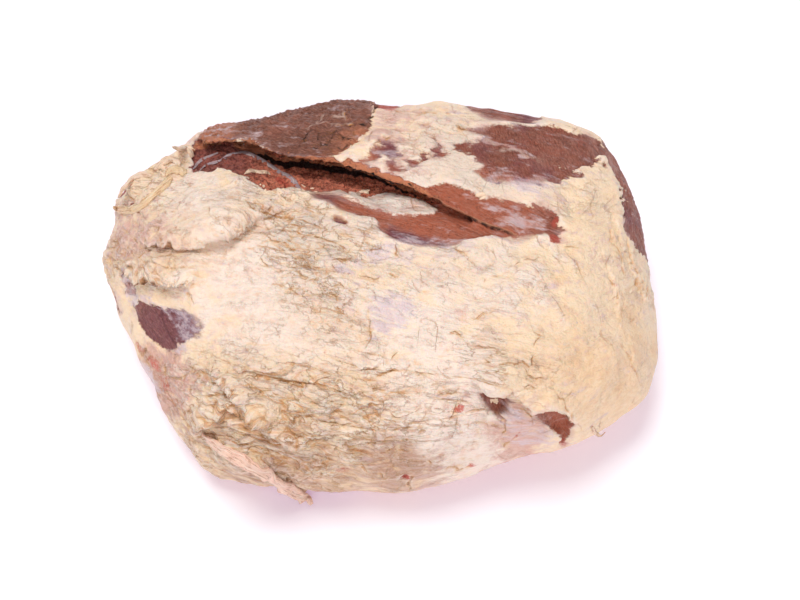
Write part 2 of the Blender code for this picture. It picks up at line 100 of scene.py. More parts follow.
class Paint:
    """One value in a recipe of nodes. Arithmetic on it adds Math nodes, and node() adds any other."""

    def __init__(self, tree, socket=None):
        self.tree = tree
        self.socket = socket

    def node(self, kind, settings=None, sockets=None, output=0):
        made = self.tree.nodes.new(kind)
        for name, value in (settings or {}).items():
            setattr(made, name, value)
        for name, value in (sockets or {}).items():
            goal = next(s for s in made.inputs if name in (s.identifier, s.name) and s.enabled)
            if isinstance(value, Paint):
                self.tree.links.new(value.socket, goal)
            else:
                goal.default_value = value
        return Paint(self.tree, made.outputs[output])

    def sum(self, operation, first, second):
        made = self.tree.nodes.new("ShaderNodeMath")
        made.operation = operation
        for goal, value in zip(made.inputs, (first, second)):
            if isinstance(value, Paint):
                self.tree.links.new(value.socket, goal)
            else:
                goal.default_value = value
        return Paint(self.tree, made.outputs[0])

    def __add__(self, other):
        return self.sum("ADD", self, other)

    def __radd__(self, other):
        return self.sum("ADD", other, self)

    def __sub__(self, other):
        return self.sum("SUBTRACT", self, other)

    def __rsub__(self, other):
        return self.sum("SUBTRACT", other, self)

    def __mul__(self, other):
        return self.sum("MULTIPLY", self, other)

    def __rmul__(self, other):
        return self.sum("MULTIPLY", other, self)

    def __truediv__(self, other):
        return self.sum("DIVIDE", self, other)

    def higher(self, other):
        return self.sum("MAXIMUM", self, other)

    def lower(self, other):
        return self.sum("MINIMUM", self, other)

    def fraction(self):
        return self.node("ShaderNodeMath", {"operation": "FRACT"}, {"Value": self})

    def step(self, low, high):
        """Nothing below low, one above high, and a smooth rise between them."""
        settings = {"interpolation_type": "SMOOTHSTEP"}
        return self.node(
            "ShaderNodeMapRange", settings, {"Value": self, "From Min": low, "From Max": high}
        )

    def attribute(self, name):
        return self.node("ShaderNodeAttribute", {"attribute_name": name}, output=1)

    def parts(self):
        made = self.node("ShaderNodeSeparateXYZ", sockets={"Vector": self})
        return [Paint(self.tree, socket) for socket in made.socket.node.outputs]

    def stretched(self, x, y, z):
        """A vector with each of its parts multiplied."""
        sockets = {"Vector": self, "Vector_001": (x, y, z)}
        return self.node("ShaderNodeVectorMath", {"operation": "MULTIPLY"}, sockets)

    def noise(self, scale, detail=3.0, roughness=0.55, distortion=0.0):
        """Cloudy noise at this place, a half on average."""
        sockets = {
            "Vector": self,
            "Scale": scale,
            "Detail": detail,
            "Roughness": roughness,
            "Distortion": distortion,
        }
        return self.node("ShaderNodeTexNoise", {"noise_dimensions": "3D"}, sockets)

    def tinted(self, colour, amount):
        """This colour, mixed with another one by the amount."""
        sockets = {"Factor_Float": amount, "A_Color": self, "B_Color": colour}
        return self.node("ShaderNodeMix", {"data_type": "RGBA"}, sockets, output=2)

    def times(self, colour, amount=1.0):
        """This colour, multiplied with another one by the amount."""
        settings = {"data_type": "RGBA", "blend_type": "MULTIPLY"}
        sockets = {"Factor_Float": amount, "A_Color": self, "B_Color": colour}
        return self.node("ShaderNodeMix", settings, sockets, output=2)


def new_material(name):
    """A material with one Principled shader, and the start of its recipe."""
    made = bpy.data.materials.new(name)
    made.use_nodes = True
    shader = made.node_tree.nodes["Principled BSDF"]
    return made, shader, Paint(made.node_tree)


def finish_shader(shader, colour, roughness=None, height=None, bump=1.0):
    """Links colour, roughness and the bump of a height in metres to a Principled shader."""
    tree = shader.id_data
    tree.links.new(colour.socket, shader.inputs["Base Color"])
    if roughness is not None:
        tree.links.new(roughness.socket, shader.inputs["Roughness"])
    if height is not None:
        dent = colour.node(
            "ShaderNodeBump", sockets={"Height": height, "Distance": 1.0, "Strength": bump}
        )
        tree.links.new(dent.socket, shader.inputs["Normal"])


def finished_piece(name, mesh, material):
    """A piece of the cut that stays with it."""
    made = bpy.data.objects.new(name, mesh)
    bpy.context.scene.collection.objects.link(made)
    mesh.materials.clear()
    mesh.materials.append(material)
    mesh.shade_smooth()
    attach(made, "root")
    return made


# The table and the light
# A wide white table under soft daylight, with a big soft lamp above, a little behind and to the left of
# the cut, and a softer one in front. The table is lit a little from within, as an overexposed one looks,
# which keeps its shadows pale and rosy.
TABLE_SIZE = 200.0
TABLE_COLOUR = (0.900, 1.000, 0.980, 1.0)
TABLE_GLOW = (0.170, 0.040, 0.140, 1.0)
TABLE_ROUGHNESS = 0.8
SKY_COLOUR = (1.0, 1.0, 1.0, 1.0)
SKY_STRENGTH = 0.35
LAMP_FROM = (-0.20, 0.16, 1.0)
LAMP_STRENGTH = 2.08
LAMP_SPREAD = math.radians(34)
LAMP_COLOUR = (1.0, 0.985, 0.97)
FILL_FROM = (0.15, -1.0, 0.70)
FILL_STRENGTH = 1.20
FILL_SPREAD = math.radians(42)

half = TABLE_SIZE / 2
corners = [(-half, -half, 0), (half, -half, 0), (half, half, 0), (-half, half, 0)]
table_mesh = bpy.data.meshes.new("table")
table_mesh.from_pydata(corners, [], [(0, 1, 2, 3)])
table = bpy.data.objects.new("table", table_mesh)
bpy.context.scene.collection.objects.link(table)
table_material, table_shader, table_paint = new_material("white_table")
table_shader.inputs["Base Color"].default_value = TABLE_COLOUR
table_shader.inputs["Roughness"].default_value = TABLE_ROUGHNESS
table_shader.inputs["Specular IOR Level"].default_value = 0.0
table_shader.inputs["Emission Color"].default_value = TABLE_GLOW
table_shader.inputs["Emission Strength"].default_value = 1.0
table_mesh.materials.append(table_material)
table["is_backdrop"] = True

sky = bpy.data.worlds.new("sky")
sky.use_nodes = True
sky.node_tree.nodes["Background"].inputs["Color"].default_value = SKY_COLOUR
sky.node_tree.nodes["Background"].inputs["Strength"].default_value = SKY_STRENGTH
bpy.context.scene.world = sky


def hang_sun(name, source, strength, spread):
    """A far lamp that shines from this direction, with this much spread."""
    lamp = bpy.data.lights.new(name, "SUN")
    lamp.energy = strength
    lamp.angle = spread
    lamp.color = LAMP_COLOUR
    hung = bpy.data.objects.new(name, lamp)
    hung.location = source
    hung.rotation_euler = (-Vector(source)).to_track_quat("-Z", "Y").to_euler()
    bpy.context.scene.collection.objects.link(hung)


hang_sun("lamp", LAMP_FROM, LAMP_STRENGTH, LAMP_SPREAD)
hang_sun("fill", FILL_FROM, FILL_STRENGTH, FILL_SPREAD)

# The skin of the cut
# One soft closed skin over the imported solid, fine enough to take wrinkles and torn edges. Everything
# that follows moves its points or paints them.
SKIN_CELL = 1.65
SKIN_SMOOTHING = 6
SMOOTHING_SHARE = 0.5
BACK_TRIANGLES = 28000


def worked(made):
    """The mesh of an object with its modifiers worked in. The object is removed."""
    bpy.context.view_layer.update()
    graph = bpy.context.evaluated_depsgraph_get()
    mesh = bpy.data.meshes.new_from_object(made.evaluated_get(graph))
    bpy.data.objects.remove(made)
    return mesh


def skin_over(node):
    """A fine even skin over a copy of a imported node."""
    mesh = node.data.copy()
    work = bmesh.new()
    work.from_mesh(mesh)
    bmesh.ops.remove_doubles(work, verts=work.verts, dist=0.001 * MM)
    work.to_mesh(mesh)
    work.free()
    made = bpy.data.objects.new("skin", mesh)
    bpy.context.scene.collection.objects.link(made)
    rounder = made.modifiers.new("rounder", "SUBSURF")
    rounder.levels = rounder.render_levels = 1
    even = made.modifiers.new("even", "REMESH")
    even.mode = "VOXEL"
    even.voxel_size = SKIN_CELL * MM
    smooth = made.modifiers.new("smooth", "SMOOTH")
    smooth.factor = SMOOTHING_SHARE
    smooth.iterations = SKIN_SMOOTHING
    return worked(made)


def points_of(mesh):
    """The mesh's points and normals."""
    points = np.empty(len(mesh.vertices) * 3, np.float32)
    mesh.vertices.foreach_get("co", points)
    normals = np.empty(len(mesh.vertices) * 3, np.float32)
    mesh.vertex_normals.foreach_get("vector", normals)
    return points.reshape(-1, 3).astype(float), normals.reshape(-1, 3).astype(float)


skin = skin_over(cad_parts["beef_inside_round"])
points, normals = points_of(skin)
edges = np.empty(len(skin.edges) * 2, np.int32)
skin.edges.foreach_get("vertices", edges)
edges = edges.reshape(-1, 2)
joined = np.bincount(edges.ravel(), minlength=len(points)).astype(float)


def evened(values, rounds):
    """Values at the points, each averaged with its neighbours."""
    for _ in range(rounds):
        total = np.zeros_like(values)
        np.add.at(total, edges[:, 0], values[edges[:, 1]])
        np.add.at(total, edges[:, 1], values[edges[:, 0]])
        values = 0.5 * values + 0.5 * (total.T / joined).T
    return values


def rise(value, low, high):
    """Nothing below low, one above high, and a smooth rise between them."""
    share = np.clip((value - low) / (high - low), 0, 1)
    return share * share * (3 - 2 * share)


def crossing_waves(places, lengths, seed, count=30):
    """A random field that varies over these lengths, of unit size: many waves, seeded."""
    draw = np.random.default_rng(seed)
    turns = draw.normal(size=(count, 3))
    turns /= np.linalg.norm(turns, axis=1)[:, None]
    pace = 2 * math.pi * draw.uniform(0.6, 1.4, count)[:, None] * turns / np.array(lengths)
    start = draw.uniform(0, 2 * math.pi, count)
    total = np.zeros(len(places))
    for k in range(count):
        total += np.cos(places @ pace[k] + start[k])
    return total * math.sqrt(2 / count)


across, up, out = space_to_chart(points)
facing = normals @ OUT


def swell(length, seed):
    """A random field of unit size over the whole cut, varying over this length in millimetres."""
    return crossing_waves(points / MM, (length,) * 3, seed)


# What the chart shows ends in a ragged line just behind the rim. Beyond it the cut is finished by rule.
front = rise(facing + 0.10 * swell(34, 34) + 0.06 * swell(12, 35), -0.22, -0.02)
behind = rise(normals[:, 1] + 0.22 * swell(46, 36) + 0.08 * swell(14, 37), 0.05, 0.30)
HOLLOW_ROUNDS = 60
hollow = np.sum((evened(points, HOLLOW_ROUNDS) - points) * normals, axis=1) / MM

# How deep each point lies under something else: a ray along its normal meets meat again in the cleft.
# The back's own seams aren't the cleft: they face away and lie far back.
CLEFT_GAP = 45.0
CLEFT_ACROSS = (-165, 95)
CLEFT_UP = (35, 135)
CLEFT_FLOOR = -75
CLEFT_END = (22, 32)
BACK_FROM = 60.0
BACK_TURN = 0.3
RAY_START = 0.6
COVER_ROUNDS = 3
body = BVHTree.FromPolygons([tuple(p) for p in points], [tuple(f.vertices) for f in skin.polygons])
near_cleft = (across > CLEFT_ACROSS[0]) & (across < CLEFT_ACROSS[1]) & (out > CLEFT_FLOOR)
near_cleft &= (up > CLEFT_UP[0]) & (up < CLEFT_UP[1])
near_cleft &= (normals[:, 1] < BACK_TURN) | (points[:, 1] < BACK_FROM * MM)
covered = np.zeros(len(points))
for number in np.nonzero(near_cleft)[0]:
    start = Vector(points[number] + normals[number] * RAY_START * MM)
    if body.ray_cast(start, Vector(normals[number]), CLEFT_GAP * MM)[0] is not None:
        covered[number] = 1.0
covered = evened(covered, COVER_ROUNDS) * (1 - rise(across, *CLEFT_END))

# The grain of the meat
# Muscle fibres and the wrinkles of the fat run in different directions from place to place. These
# directions are joined into two smooth coordinates, along and across the grain.
GRAIN = [
    # (across, up, reach, direction in degrees)
    (-155, -75, 14, -78),
    (-116, -80, 24, -36),
    (-70, -72, 28, -24),
    (-30, -78, 30, -16),
    (-110, -108, 22, -38),
    (-60, -112, 22, -24),
    (10, -98, 26, 18),
    (60, -100, 22, 16),
    (30, -52, 26, -8),
    (90, -56, 26, -22),
    (-80, -45, 26, -6),
    (120, -10, 30, 40),
    (160, 10, 22, 80),
    (168, 50, 16, 78),
    (150, -60, 24, 62),
    (-150, 66, 26, 16),
    (-110, 70, 24, -20),
    (-205, 25, 16, -80),
    (-180, -40, 14, -62),
    (-176, -20, 12, -66),
    (-60, 120, 30, 6),
    (-130, 122, 20, 8),
    (115, 112, 26, -58),
    (60, 108, 20, -16),
    (150, 105, 16, -62),
    (10, 110, 26, -12),
    (20, 76, 24, -24),
    (80, 62, 22, -16),
    (20, 55, 20, -10),
    (-60, 88, 30, -8),
    (-30, 20, 30, -12),
]
GRAIN_CELL = 3.0
GRAIN_SIDE = (168, 136)
GRAIN_EASE = 0.05


def grain_field():
    """The grain's turn over the chart, and distances along and across it: their slopes follow GRAIN."""
    wide, tall = GRAIN_SIDE
    x = (np.arange(wide) - wide / 2) * GRAIN_CELL
    w = (np.arange(tall) - tall / 2) * GRAIN_CELL
    x, w = np.meshgrid(x, w, indexing="ij")
    turn = np.zeros_like(x)
    total = np.full_like(x, GRAIN_EASE)
    for middle_x, middle_w, reach, degrees in GRAIN:
        pull = np.exp(-((x - middle_x) ** 2 + (w - middle_w) ** 2) / (2 * reach**2))
        turn += pull * math.radians(degrees)
        total += pull
    turn /= total
    kx = 2 * math.pi * np.fft.fftfreq(wide, GRAIN_CELL)[:, None]
    kw = 2 * math.pi * np.fft.fftfreq(tall, GRAIN_CELL)[None, :]
    size = kx**2 + kw**2
    size[0, 0] = 1
    fields = [turn]
    for slope_x, slope_w in ((np.cos(turn), np.sin(turn)), (-np.sin(turn), np.cos(turn))):
        bent = -1j * (kx * np.fft.fft2(slope_x) + kw * np.fft.fft2(slope_w)) / size
        bent[0, 0] = 0
        fields.append(np.fft.ifft2(bent).real + slope_x.mean() * x + slope_w.mean() * w)
    return fields


def sampled(field, across, up):
    """A field over the chart, read between its cells."""
    x = across / GRAIN_CELL + GRAIN_SIDE[0] / 2
    w = up / GRAIN_CELL + GRAIN_SIDE[1] / 2
    left = np.clip(x.astype(int), 0, GRAIN_SIDE[0] - 2)
    low = np.clip(w.astype(int), 0, GRAIN_SIDE[1] - 2)
    fx, fw = x - left, w - low
    below = field[left, low] * (1 - fx) + field[left + 1, low] * fx
    above = field[left, low + 1] * (1 - fx) + field[left + 1, low + 1] * fx
    return below * (1 - fw) + above * fw


fibre_turn, grain_along, grain_across = [sampled(field, across, up) for field in grain_field()]
grain = np.stack([grain_along, grain_across, out], -1)


# Outlines and lines on the cut
# What belongs to one muscle, film or lobe is told by its outline on the chart. Torn borders are those
# outlines made ragged, more in some places than in others.
RAGGED_PLACES = [
    # (across, up, reach, how ragged)
    (95, 90, 24, 0.8),
    (140, 96, 16, 0.8),
    (50, 108, 14, 0.9),
    (0, 102, 18, 0.5),
    (160, 85, 10, 0.6),
    (-110, 90, 22, 0.4),
    (-200, 10, 16, 0.4),
    (-178, -22, 15, -0.35),
    (50, 60, 18, -0.25),
    (-150, 40, 30, 0.7),
    (-115, -75, 20, 0.5),
]
EVENLY_RAGGED = 0.35


def patches(rows):
    """A soft sum of round patches, as (across, up, reach, amount)."""
    total = np.zeros(len(across))
    for x, w, reach, amount in rows:
        total += amount * np.exp(-((across - x) ** 2 + (up - w) ** 2) / (2 * reach**2))
    return total


ragged = EVENLY_RAGGED + patches(RAGGED_PLACES)
wisps = 2.2 * crossing_waves(grain, (26, 3.6, 8), 10) + 1.5 * crossing_waves(grain, (40, 9, 14), 11)
ragged_across = across + ragged * (wisps * np.cos(fibre_turn) + 1.3 * swell(24, 9))
ragged_up = up + ragged * (wisps * np.sin(fibre_turn) + 1.3 * swell(24, 19))
STEADY_PLACES = [(38, 66, 12, 0.9), (56, 58, 12, 0.9), (76, 50, 12, 0.9)]
bend = 1 - np.clip(patches(STEADY_PLACES), 0, 1)
bent_across = across + bend * (0.8 * swell(13, 13) + 0.3 * swell(6, 14))
bent_up = up + bend * (0.8 * swell(13, 23) + 0.3 * swell(6, 24))


def smooth_line(rows, samples=4):
    """A Catmull-Rom line through the rows of numbers, from the first to the last."""
    table = np.array(rows, float)
    table = np.vstack([2 * table[0] - table[1], table, 2 * table[-1] - table[-2]])
    t = np.linspace(0, len(table) - 3, samples * (len(table) - 3) + 1)
    cell = np.minimum(t.astype(int), len(table) - 4)
    f = (t - cell)[:, None]
    a, b, c, d = (table[cell + k] for k in range(4))
    bend = (2 * a - 5 * b + 4 * c - d) * f**2
    return 0.5 * (2 * b + (c - a) * f + bend + (3 * b - a - 3 * c + d) * f**3)


def beside(line, x, w):
    """Distance to a line on the chart, positive above it or to its left, and the share of the way along."""
    line = np.asarray(line, float)
    nearest = np.full(len(x), 1e9)
    side = np.ones(len(x))
    along = np.zeros(len(x))
    steps = np.hypot(*(line[1:] - line[:-1]).T)
    before = np.concatenate([[0], np.cumsum(steps)])
    for k, (a, b) in enumerate(zip(line[:-1], line[1:])):
        step = b - a
        share = np.clip(((x - a[0]) * step[0] + (w - a[1]) * step[1]) / (step @ step), 0, 1)
        distance = np.hypot(x - a[0] - share * step[0], w - a[1] - share * step[1])
        closer = distance < nearest
        nearest[closer] = distance[closer]
        turn = step[0] * (w - a[1]) - step[1] * (x - a[0])
        side[closer] = np.where(turn[closer] < 0, -1, 1)
        along[closer] = (before[k] + share[closer] * steps[k]) / before[-1]
    return nearest * side, along


def close_to(line, margin):
    """Which points lie within the box of a line on the chart, with a margin."""
    line = np.asarray(line, float)
    low, high = line.min(axis=0) - margin, line.max(axis=0) + margin
    return (across > low[0]) & (across < high[0]) & (up > low[1]) & (up < high[1])


def within(outline, margin=14.0):
    """Millimetres inside a closed outline on the chart, and negative outside it."""
    line = np.array(outline + outline[:1], float)
    close = close_to(line, margin)
    depth = np.full(len(across), -margin)
    x, w = ragged_across[close], ragged_up[close]
    odd = np.zeros(len(x), bool)
    for (ax, aw), (bx, bw) in zip(line[:-1], line[1:]):
        if aw != bw:
            odd ^= ((aw > w) != (bw > w)) & (x < (bx - ax) * (w - aw) / (bw - aw) + ax)
    distance = abs(beside(line, x, w)[0])
    depth[close] = np.where(odd, distance, -distance)
    return np.maximum(depth, -margin)


def spot(x, w, wide, long, turn=0.0):
    """A soft ragged spot: one in its middle and nothing beyond its half sizes."""
    c, s = math.cos(math.radians(turn)), math.sin(math.radians(turn))
    dx, dw = (ragged_across + across) / 2 - x, (ragged_up + up) / 2 - w
    r = np.hypot((dx * c + dw * s) / wide, (dw * c - dx * s) / long)
    return 1 - rise(r, 0.55, 1.15)


# The lean that shows
# Where the fat cover is trimmed or torn off, muscle shows: the cap's own lean face, the strips on both
# sides of the cleft, the big face at the upper right with the wall beyond it, and small windows.
CAP_FACE = [
    (-152, 108), (-146, 120), (-141, 130), (-129, 134), (-120, 134), (-100, 137), (-85, 143), (-70, 148),
    (-54, 152), (-33, 154), (-16, 150), (-21, 136), (-22, 128), (-24, 121), (-30, 115), (-38, 109),
    (-50, 105), (-62, 103.5), (-75, 103.5), (-86, 105), (-93, 108), (-98, 112), (-108, 117), (-118, 117),
    (-130, 118), (-140, 114), (-150, 108),
]
CAP_CRACKED = [
    (-74, 125), (-51, 130), (-35, 133), (-20, 130), (-27, 119), (-38, 111), (-51, 107), (-67, 107),
    (-75, 116),
]
LEAN_STRIP = [
    (-67, 80), (-60, 80.5), (-52, 79), (-43, 76.5), (-35, 73), (-29, 70.5), (-18, 66.5), (-5, 63.5),
    (13, 62), (24, 64), (33, 70), (44, 67), (54.5, 61.5), (65, 57), (76, 52.5), (84, 46.8), (73, 45.4),
    (62, 45), (47, 44), (34, 44), (22, 45.4), (11, 49), (-2, 52.6), (-11, 56.3), (-20, 60), (-28, 61),
    (-36, 64), (-42, 66), (-51, 71), (-60, 76),
]
UPPER_STRIP = [
    (13, 81), (20, 82.6), (29, 84.4), (38, 83.5), (47, 80.8), (58, 76.2), (73, 72.6), (87, 70.8),
    (102, 69), (112, 65.3), (115, 60), (116, 51), (118, 43), (112, 43.6), (107, 48.6), (98, 46), (87, 45.5),
    (83.5, 45), (73, 47), (62, 51), (51, 55), (40, 60), (30, 65), (20, 71), (14, 76),
]
UPPER_FACE = [
    (49, 125.5), (60, 126.5), (84, 126.5), (105, 126), (122, 125), (134, 122.5), (145, 118), (150, 113.4),
    (153.4, 108), (155.7, 101.6), (155, 97), (150, 102.5), (143.4, 103.4), (142.5, 96.2), (134.3, 95.3),
    (127, 93.5), (120, 89.8), (112, 87.5), (105, 84.4), (98, 84), (87, 87), (80, 84.9), (70, 86.8),
    (62, 89.8), (55.5, 92.6), (58.4, 96.6), (56.3, 104.4), (49, 107), (41, 110.7), (43, 117.6),
    (51, 115.2), (62, 117), (61.7, 120),
]
FAR_STRIP = [
    (44, 144), (55, 143), (70, 144), (80, 145), (92, 141), (104, 134), (103, 131), (95, 130.5), (86, 130),
    (80, 131), (70, 132), (64, 134), (58, 137), (50, 140),
]
RIGHT_WALL = [
    (149, 114), (151, 106), (153, 98), (157, 96), (158, 90), (161, 86), (160, 80), (163, 72), (162, 60),
    (164, 52), (168, 45), (172, 38), (177, 31), (182, 22), (204, 22), (204, 80), (186, 112), (162, 130),
]
LEFT_WINDOW = [
    (-195, -5), (-190, -2.5), (-184, -2.5), (-176, -4.5), (-170, -9), (-168, -15), (-164, -22), (-160, -30),
    (-165, -36), (-168, -37), (-175, -34), (-183, -27), (-190, -18), (-193, -10),
]
LEFT_VEIL = [
    (-172, -6), (-164, -7), (-157, -9), (-150, -13), (-145, -20), (-147, -25), (-153, -28), (-160, -33),
    (-166, -24), (-170, -14),
]
POCKET = [
    (58, -69), (65.3, -69), (76.2, -70.8), (79.9, -72.6), (78, -78), (74.4, -81.7), (74.4, -87), (69, -83.5),
    (65.3, -80), (61.7, -74.4),
]
SECOND_POCKET = [
    (98, -82.2), (103, -79.4), (112.5, -79), (119.8, -81.7), (126.2, -87), (125.2, -92.6), (121.6, -99.8),
    (120.7, -106.2), (116.2, -104.4), (117, -99.8), (112.5, -95.4), (106, -92), (100, -86.5),
]
LILAC_PATCH = [
    (-21.8, 107), (-18.2, 113.4), (-10.9, 116.2), (-3.6, 116.2), (-1.8, 110.7), (-2.7, 104.4), (-9, 102.5),
    (-14.5, 107), (-20, 101.6), (-25.4, 99.8), (-27.2, 101.6),
]
SMALL_TEAR = [(-11, 100.5), (-6, 102), (0, 99.5), (5.5, 100), (4, 97), (-2, 95.5), (-5, 93.5), (-9, 95.5)]
TEAR_STREAK = [
    (4, 101), (9, 103.5), (14, 103), (18, 107), (22.5, 108), (20.5, 103), (16, 101), (10, 99.5), (5, 99),
]
FORKED_TEAR = [
    (24.5, 108), (27, 112), (27.5, 118), (29.5, 113), (31.5, 109), (35, 106), (33.5, 103), (30, 105),
    (27, 104),
]
LILAC_BAND = [
    (-19, 62), (-8, 57.5), (4, 54), (14, 50.5), (24, 47.5), (36, 46), (46, 44.5), (40, 40.5), (28, 39.5),
    (14, 40.5), (0, 43), (-9, 46.5), (-15, 52),
]
LEFT_SLIVER = [(-216, 16), (-212, 12), (-209, 5), (-206, -1), (-203, -8), (-208, -6), (-214, 4)]
LEFT_GAP = [(-200, 5), (-199, 10), (-193, 13), (-192, 10), (-194, 5)]
CLEFT_BORDER = [
    (-152, 107), (-145, 111), (-138, 114), (-130, 116), (-118, 114), (-105, 111.5), (-95, 106), (-86, 103),
    (-73, 102), (-60, 101), (-45, 98.5), (-30, 95.5), (-20, 93), (-10, 88), (0, 84), (10, 79.5), (20, 75),
    (28, 71.5), (38, 63), (28, 70), (20, 72), (12, 73), (0, 75), (-10, 78), (-20, 77), (-25, 76),
    (-27, 80), (-33, 80), (-38, 77), (-42, 80), (-52, 80), (-60, 81), (-70, 81), (-82, 81), (-92, 79),
    (-97, 79), (-104, 84), (-112, 89), (-120, 94), (-126, 95), (-132, 96), (-141, 93), (-150, 92),
]
STRIP_SEAM = [(26, 73), (33, 68), (44, 63.5), (54.5, 58), (65, 53.5), (74.5, 50.5), (84, 47)]
CLEFT_LIP = [
    (-37, 78), (-33, 80), (-27, 80), (-25, 76), (-20, 77), (-10, 78.5), (0, 75), (12, 73), (22, 71.5),
    (27, 70), (33, 66), (38, 63), (35, 61), (26, 62), (10, 63), (-5, 64), (-14, 66), (-22, 69),
    (-30, 72), (-38, 75),
]
LEAN_SPOTS = [
    # (across, up, half width, half length, turn in degrees, how purple)
    (88, 88.5, 6, 3, 0, 1.0),
    (72, 85.5, 3, 1.5, 0, 1.0),
    (101, 83.5, 3, 1.5, 0, 1.0),
    (-44, 57.5, 6, 3, -20, 1.0),
    (-10, 142, 12, 2.5, 0, 0.0),
    (-200, 18, 3, 2.2, 0, 1.0),
    (-203, 77, 6, 4, 30, 0.3),
    (4, -128, 2.5, 2, 0, 0.0),
]
CLEAN_PLACES = [
    # (across, up, reach, how sharply the fat ends there)
    (-178, -20, 14, 1.2), (36, 80, 18, 1.2), (70, 72, 14, 0.8), (20, 54, 18, 1.0), (60, 50, 14, 0.8),
]
SOFT_PLACES = [
    # (across, up, reach, how softly the lean fades there)
    (62, 91, 8, 0.6), (74, 89, 8, 0.7), (86, 87, 8, 0.7), (100, 86, 7, 0.6), (-8, 108, 12, 0.35),
    (8, 101, 10, 0.15), (45, 110, 7, 0.3), (-15, 49, 10, 0.3), (15, 42, 10, 0.3), (40, 41, 9, 0.5),
    (98, 46, 8, 0.7), (-45, 58, 8, 1.0), (26, 40, 8, 0.3), (-62, 78, 9, 0.8), (-148, -18, 9, 1.0),
    (68, 132, 20, 0.35), (80, -82, 10, 0.8),
]
soft = np.clip(patches(SOFT_PLACES), 0, 1) * front

# Each muscle has its own straight fibres.
FIBRES = [
    # (outline, the fibres' direction in degrees on the chart)
    (CAP_FACE, -14), (LEAN_STRIP, -16), (UPPER_STRIP, -28), (UPPER_FACE, -63), (FAR_STRIP, -12),
    (RIGHT_WALL, -74), (LEFT_WINDOW, -56), (LEFT_VEIL, -40), (POCKET, -60), (SECOND_POCKET, -66),
]
FIBRE_MARGIN = 3.0
fibre_along = grain_along.copy()
fibre_across = grain_across.copy()
for outline, degrees in FIBRES:
    inside = (within(outline) > -FIBRE_MARGIN) & (front > 0.5)
    c, s = math.cos(math.radians(degrees)), math.sin(math.radians(degrees))
    fibre_along[inside] = (across * c + up * s)[inside]
    fibre_across[inside] = (up * c - across * s)[inside]
lean_outlines = [
    CAP_FACE, LEAN_STRIP, UPPER_STRIP, UPPER_FACE, FAR_STRIP, RIGHT_WALL, LEFT_WINDOW, LEFT_VEIL,
    POCKET, SECOND_POCKET, LILAC_PATCH, SMALL_TEAR, TEAR_STREAK, FORKED_TEAR, LILAC_BAND, LEFT_SLIVER,
    LEFT_GAP,
]
lean_depth = np.max([within(outline) for outline in lean_outlines], axis=0)
purple = np.zeros(len(points))
for x, w, wide, long, turn, tone in LEAN_SPOTS:
    mark = spot(x, w, wide, long, turn)
    lean_depth = np.maximum(lean_depth, np.where(mark > 0, 4 * mark - 2, -14))
    purple = np.maximum(purple, mark * tone)

# Everything behind the rim is lean, with some fat along its seams.
seam = rise(hollow, 0.25, 0.9)
back_depth = 12 * behind - 5 + 3 * swell(50, 31) * behind - 16 * seam * behind
lean_depth = np.clip(lean_depth, -9, 9) * front + back_depth * (1 - front)

# The cap's rim along the cleft is lean too, and so is its edge where it tucks under, out of sight.
RIM_BAND = 4.0
RIM_POINTS = 18
TUCK_REACH = (9, 12)
TUCK_DEPTH = (-28, -20)
rim_line = smooth_line(CLEFT_BORDER[:RIM_POINTS])
rim_distance, rim_along = beside(rim_line, ragged_across, ragged_up)
rim_reach = RIM_BAND * (0.6 + 0.4 * rise(rim_along, 0.4, 0.6)) * (1 + 0.25 * swell(9, 38))
rim_band = (1 - rise(rim_distance, rim_reach - 0.8, rim_reach + 0.8)) * rise(rim_distance, -2.0, -1.0)
rim_band *= front * (1 - rise(rim_along, 0.93, 1.0))
seam_distance = beside(smooth_line(STRIP_SEAM), bent_across, bent_up)[0]
seam_band = (1 - rise(seam_distance, 1.0, 2.4)) * rise(seam_distance, -0.3, 0.3) * front
lean_depth = np.maximum(lean_depth, 8 * rim_band - 4)
floor = np.maximum(rise(within(CLEFT_BORDER), -0.6, 0.6) * front, rise(covered, 0.3, 0.6))
lip_fat = rise(within(CLEFT_LIP), -0.5, 0.5) * front
floor *= 1 - lip_fat
lean_depth = np.maximum(lean_depth, 10 * floor - 4)
edge_distance = np.minimum(abs(rim_distance), abs(seam_distance))
on_rim = (front > 0.9) & (floor < 0.1) & (rim_distance > 0) & (rim_distance < 3)
rim_out = np.polyval(np.polyfit(rim_along[on_rim], out[on_rim], 3), rim_along)
tucked = (1 - front) * (1 - rise(edge_distance, *TUCK_REACH)) * rise(out - rim_out, *TUCK_DEPTH)
rim_band = np.maximum(rim_band, tucked)
lean_depth = np.maximum(lean_depth, 12 * tucked - 5)
crust = rise(within(CAP_FACE), -1, 2) * front * (1 - floor)
PURPLE_PLACES = [
    # (across, up, reach, how purple)
    (-176, -20, 18, 1.2),
    (68, -75, 8, 0.4),
    (-152, -18, 10, 1.0),
    (58, 112, 9, 0.5),
    (78, 99, 14, 0.35),
    (104, 93, 12, 0.45),
    (-116, 97, 14, 0.7),
    (-7, 49, 5, 1.0),
    (5, 46, 5, 1.0),
    (17, 43, 5, 0.9),
    (30, 41, 5, 0.7),
    (-8, 108, 10, 0.9),
    (20, 104, 12, 0.5),
    (-140, 101, 11, 1.2),
    (172, 60, 18, 0.5),
    (92, 132, 8, 0.7),
    (-128, 122, 18, 0.5),
    (-55, 74, 10, 0.6),
]
purple = np.clip(np.maximum(purple, patches(PURPLE_PLACES)), 0, 1)
purple = purple * front + (1 - front) * rise(swell(60, 33), 0.2, 1.6) * 0.5

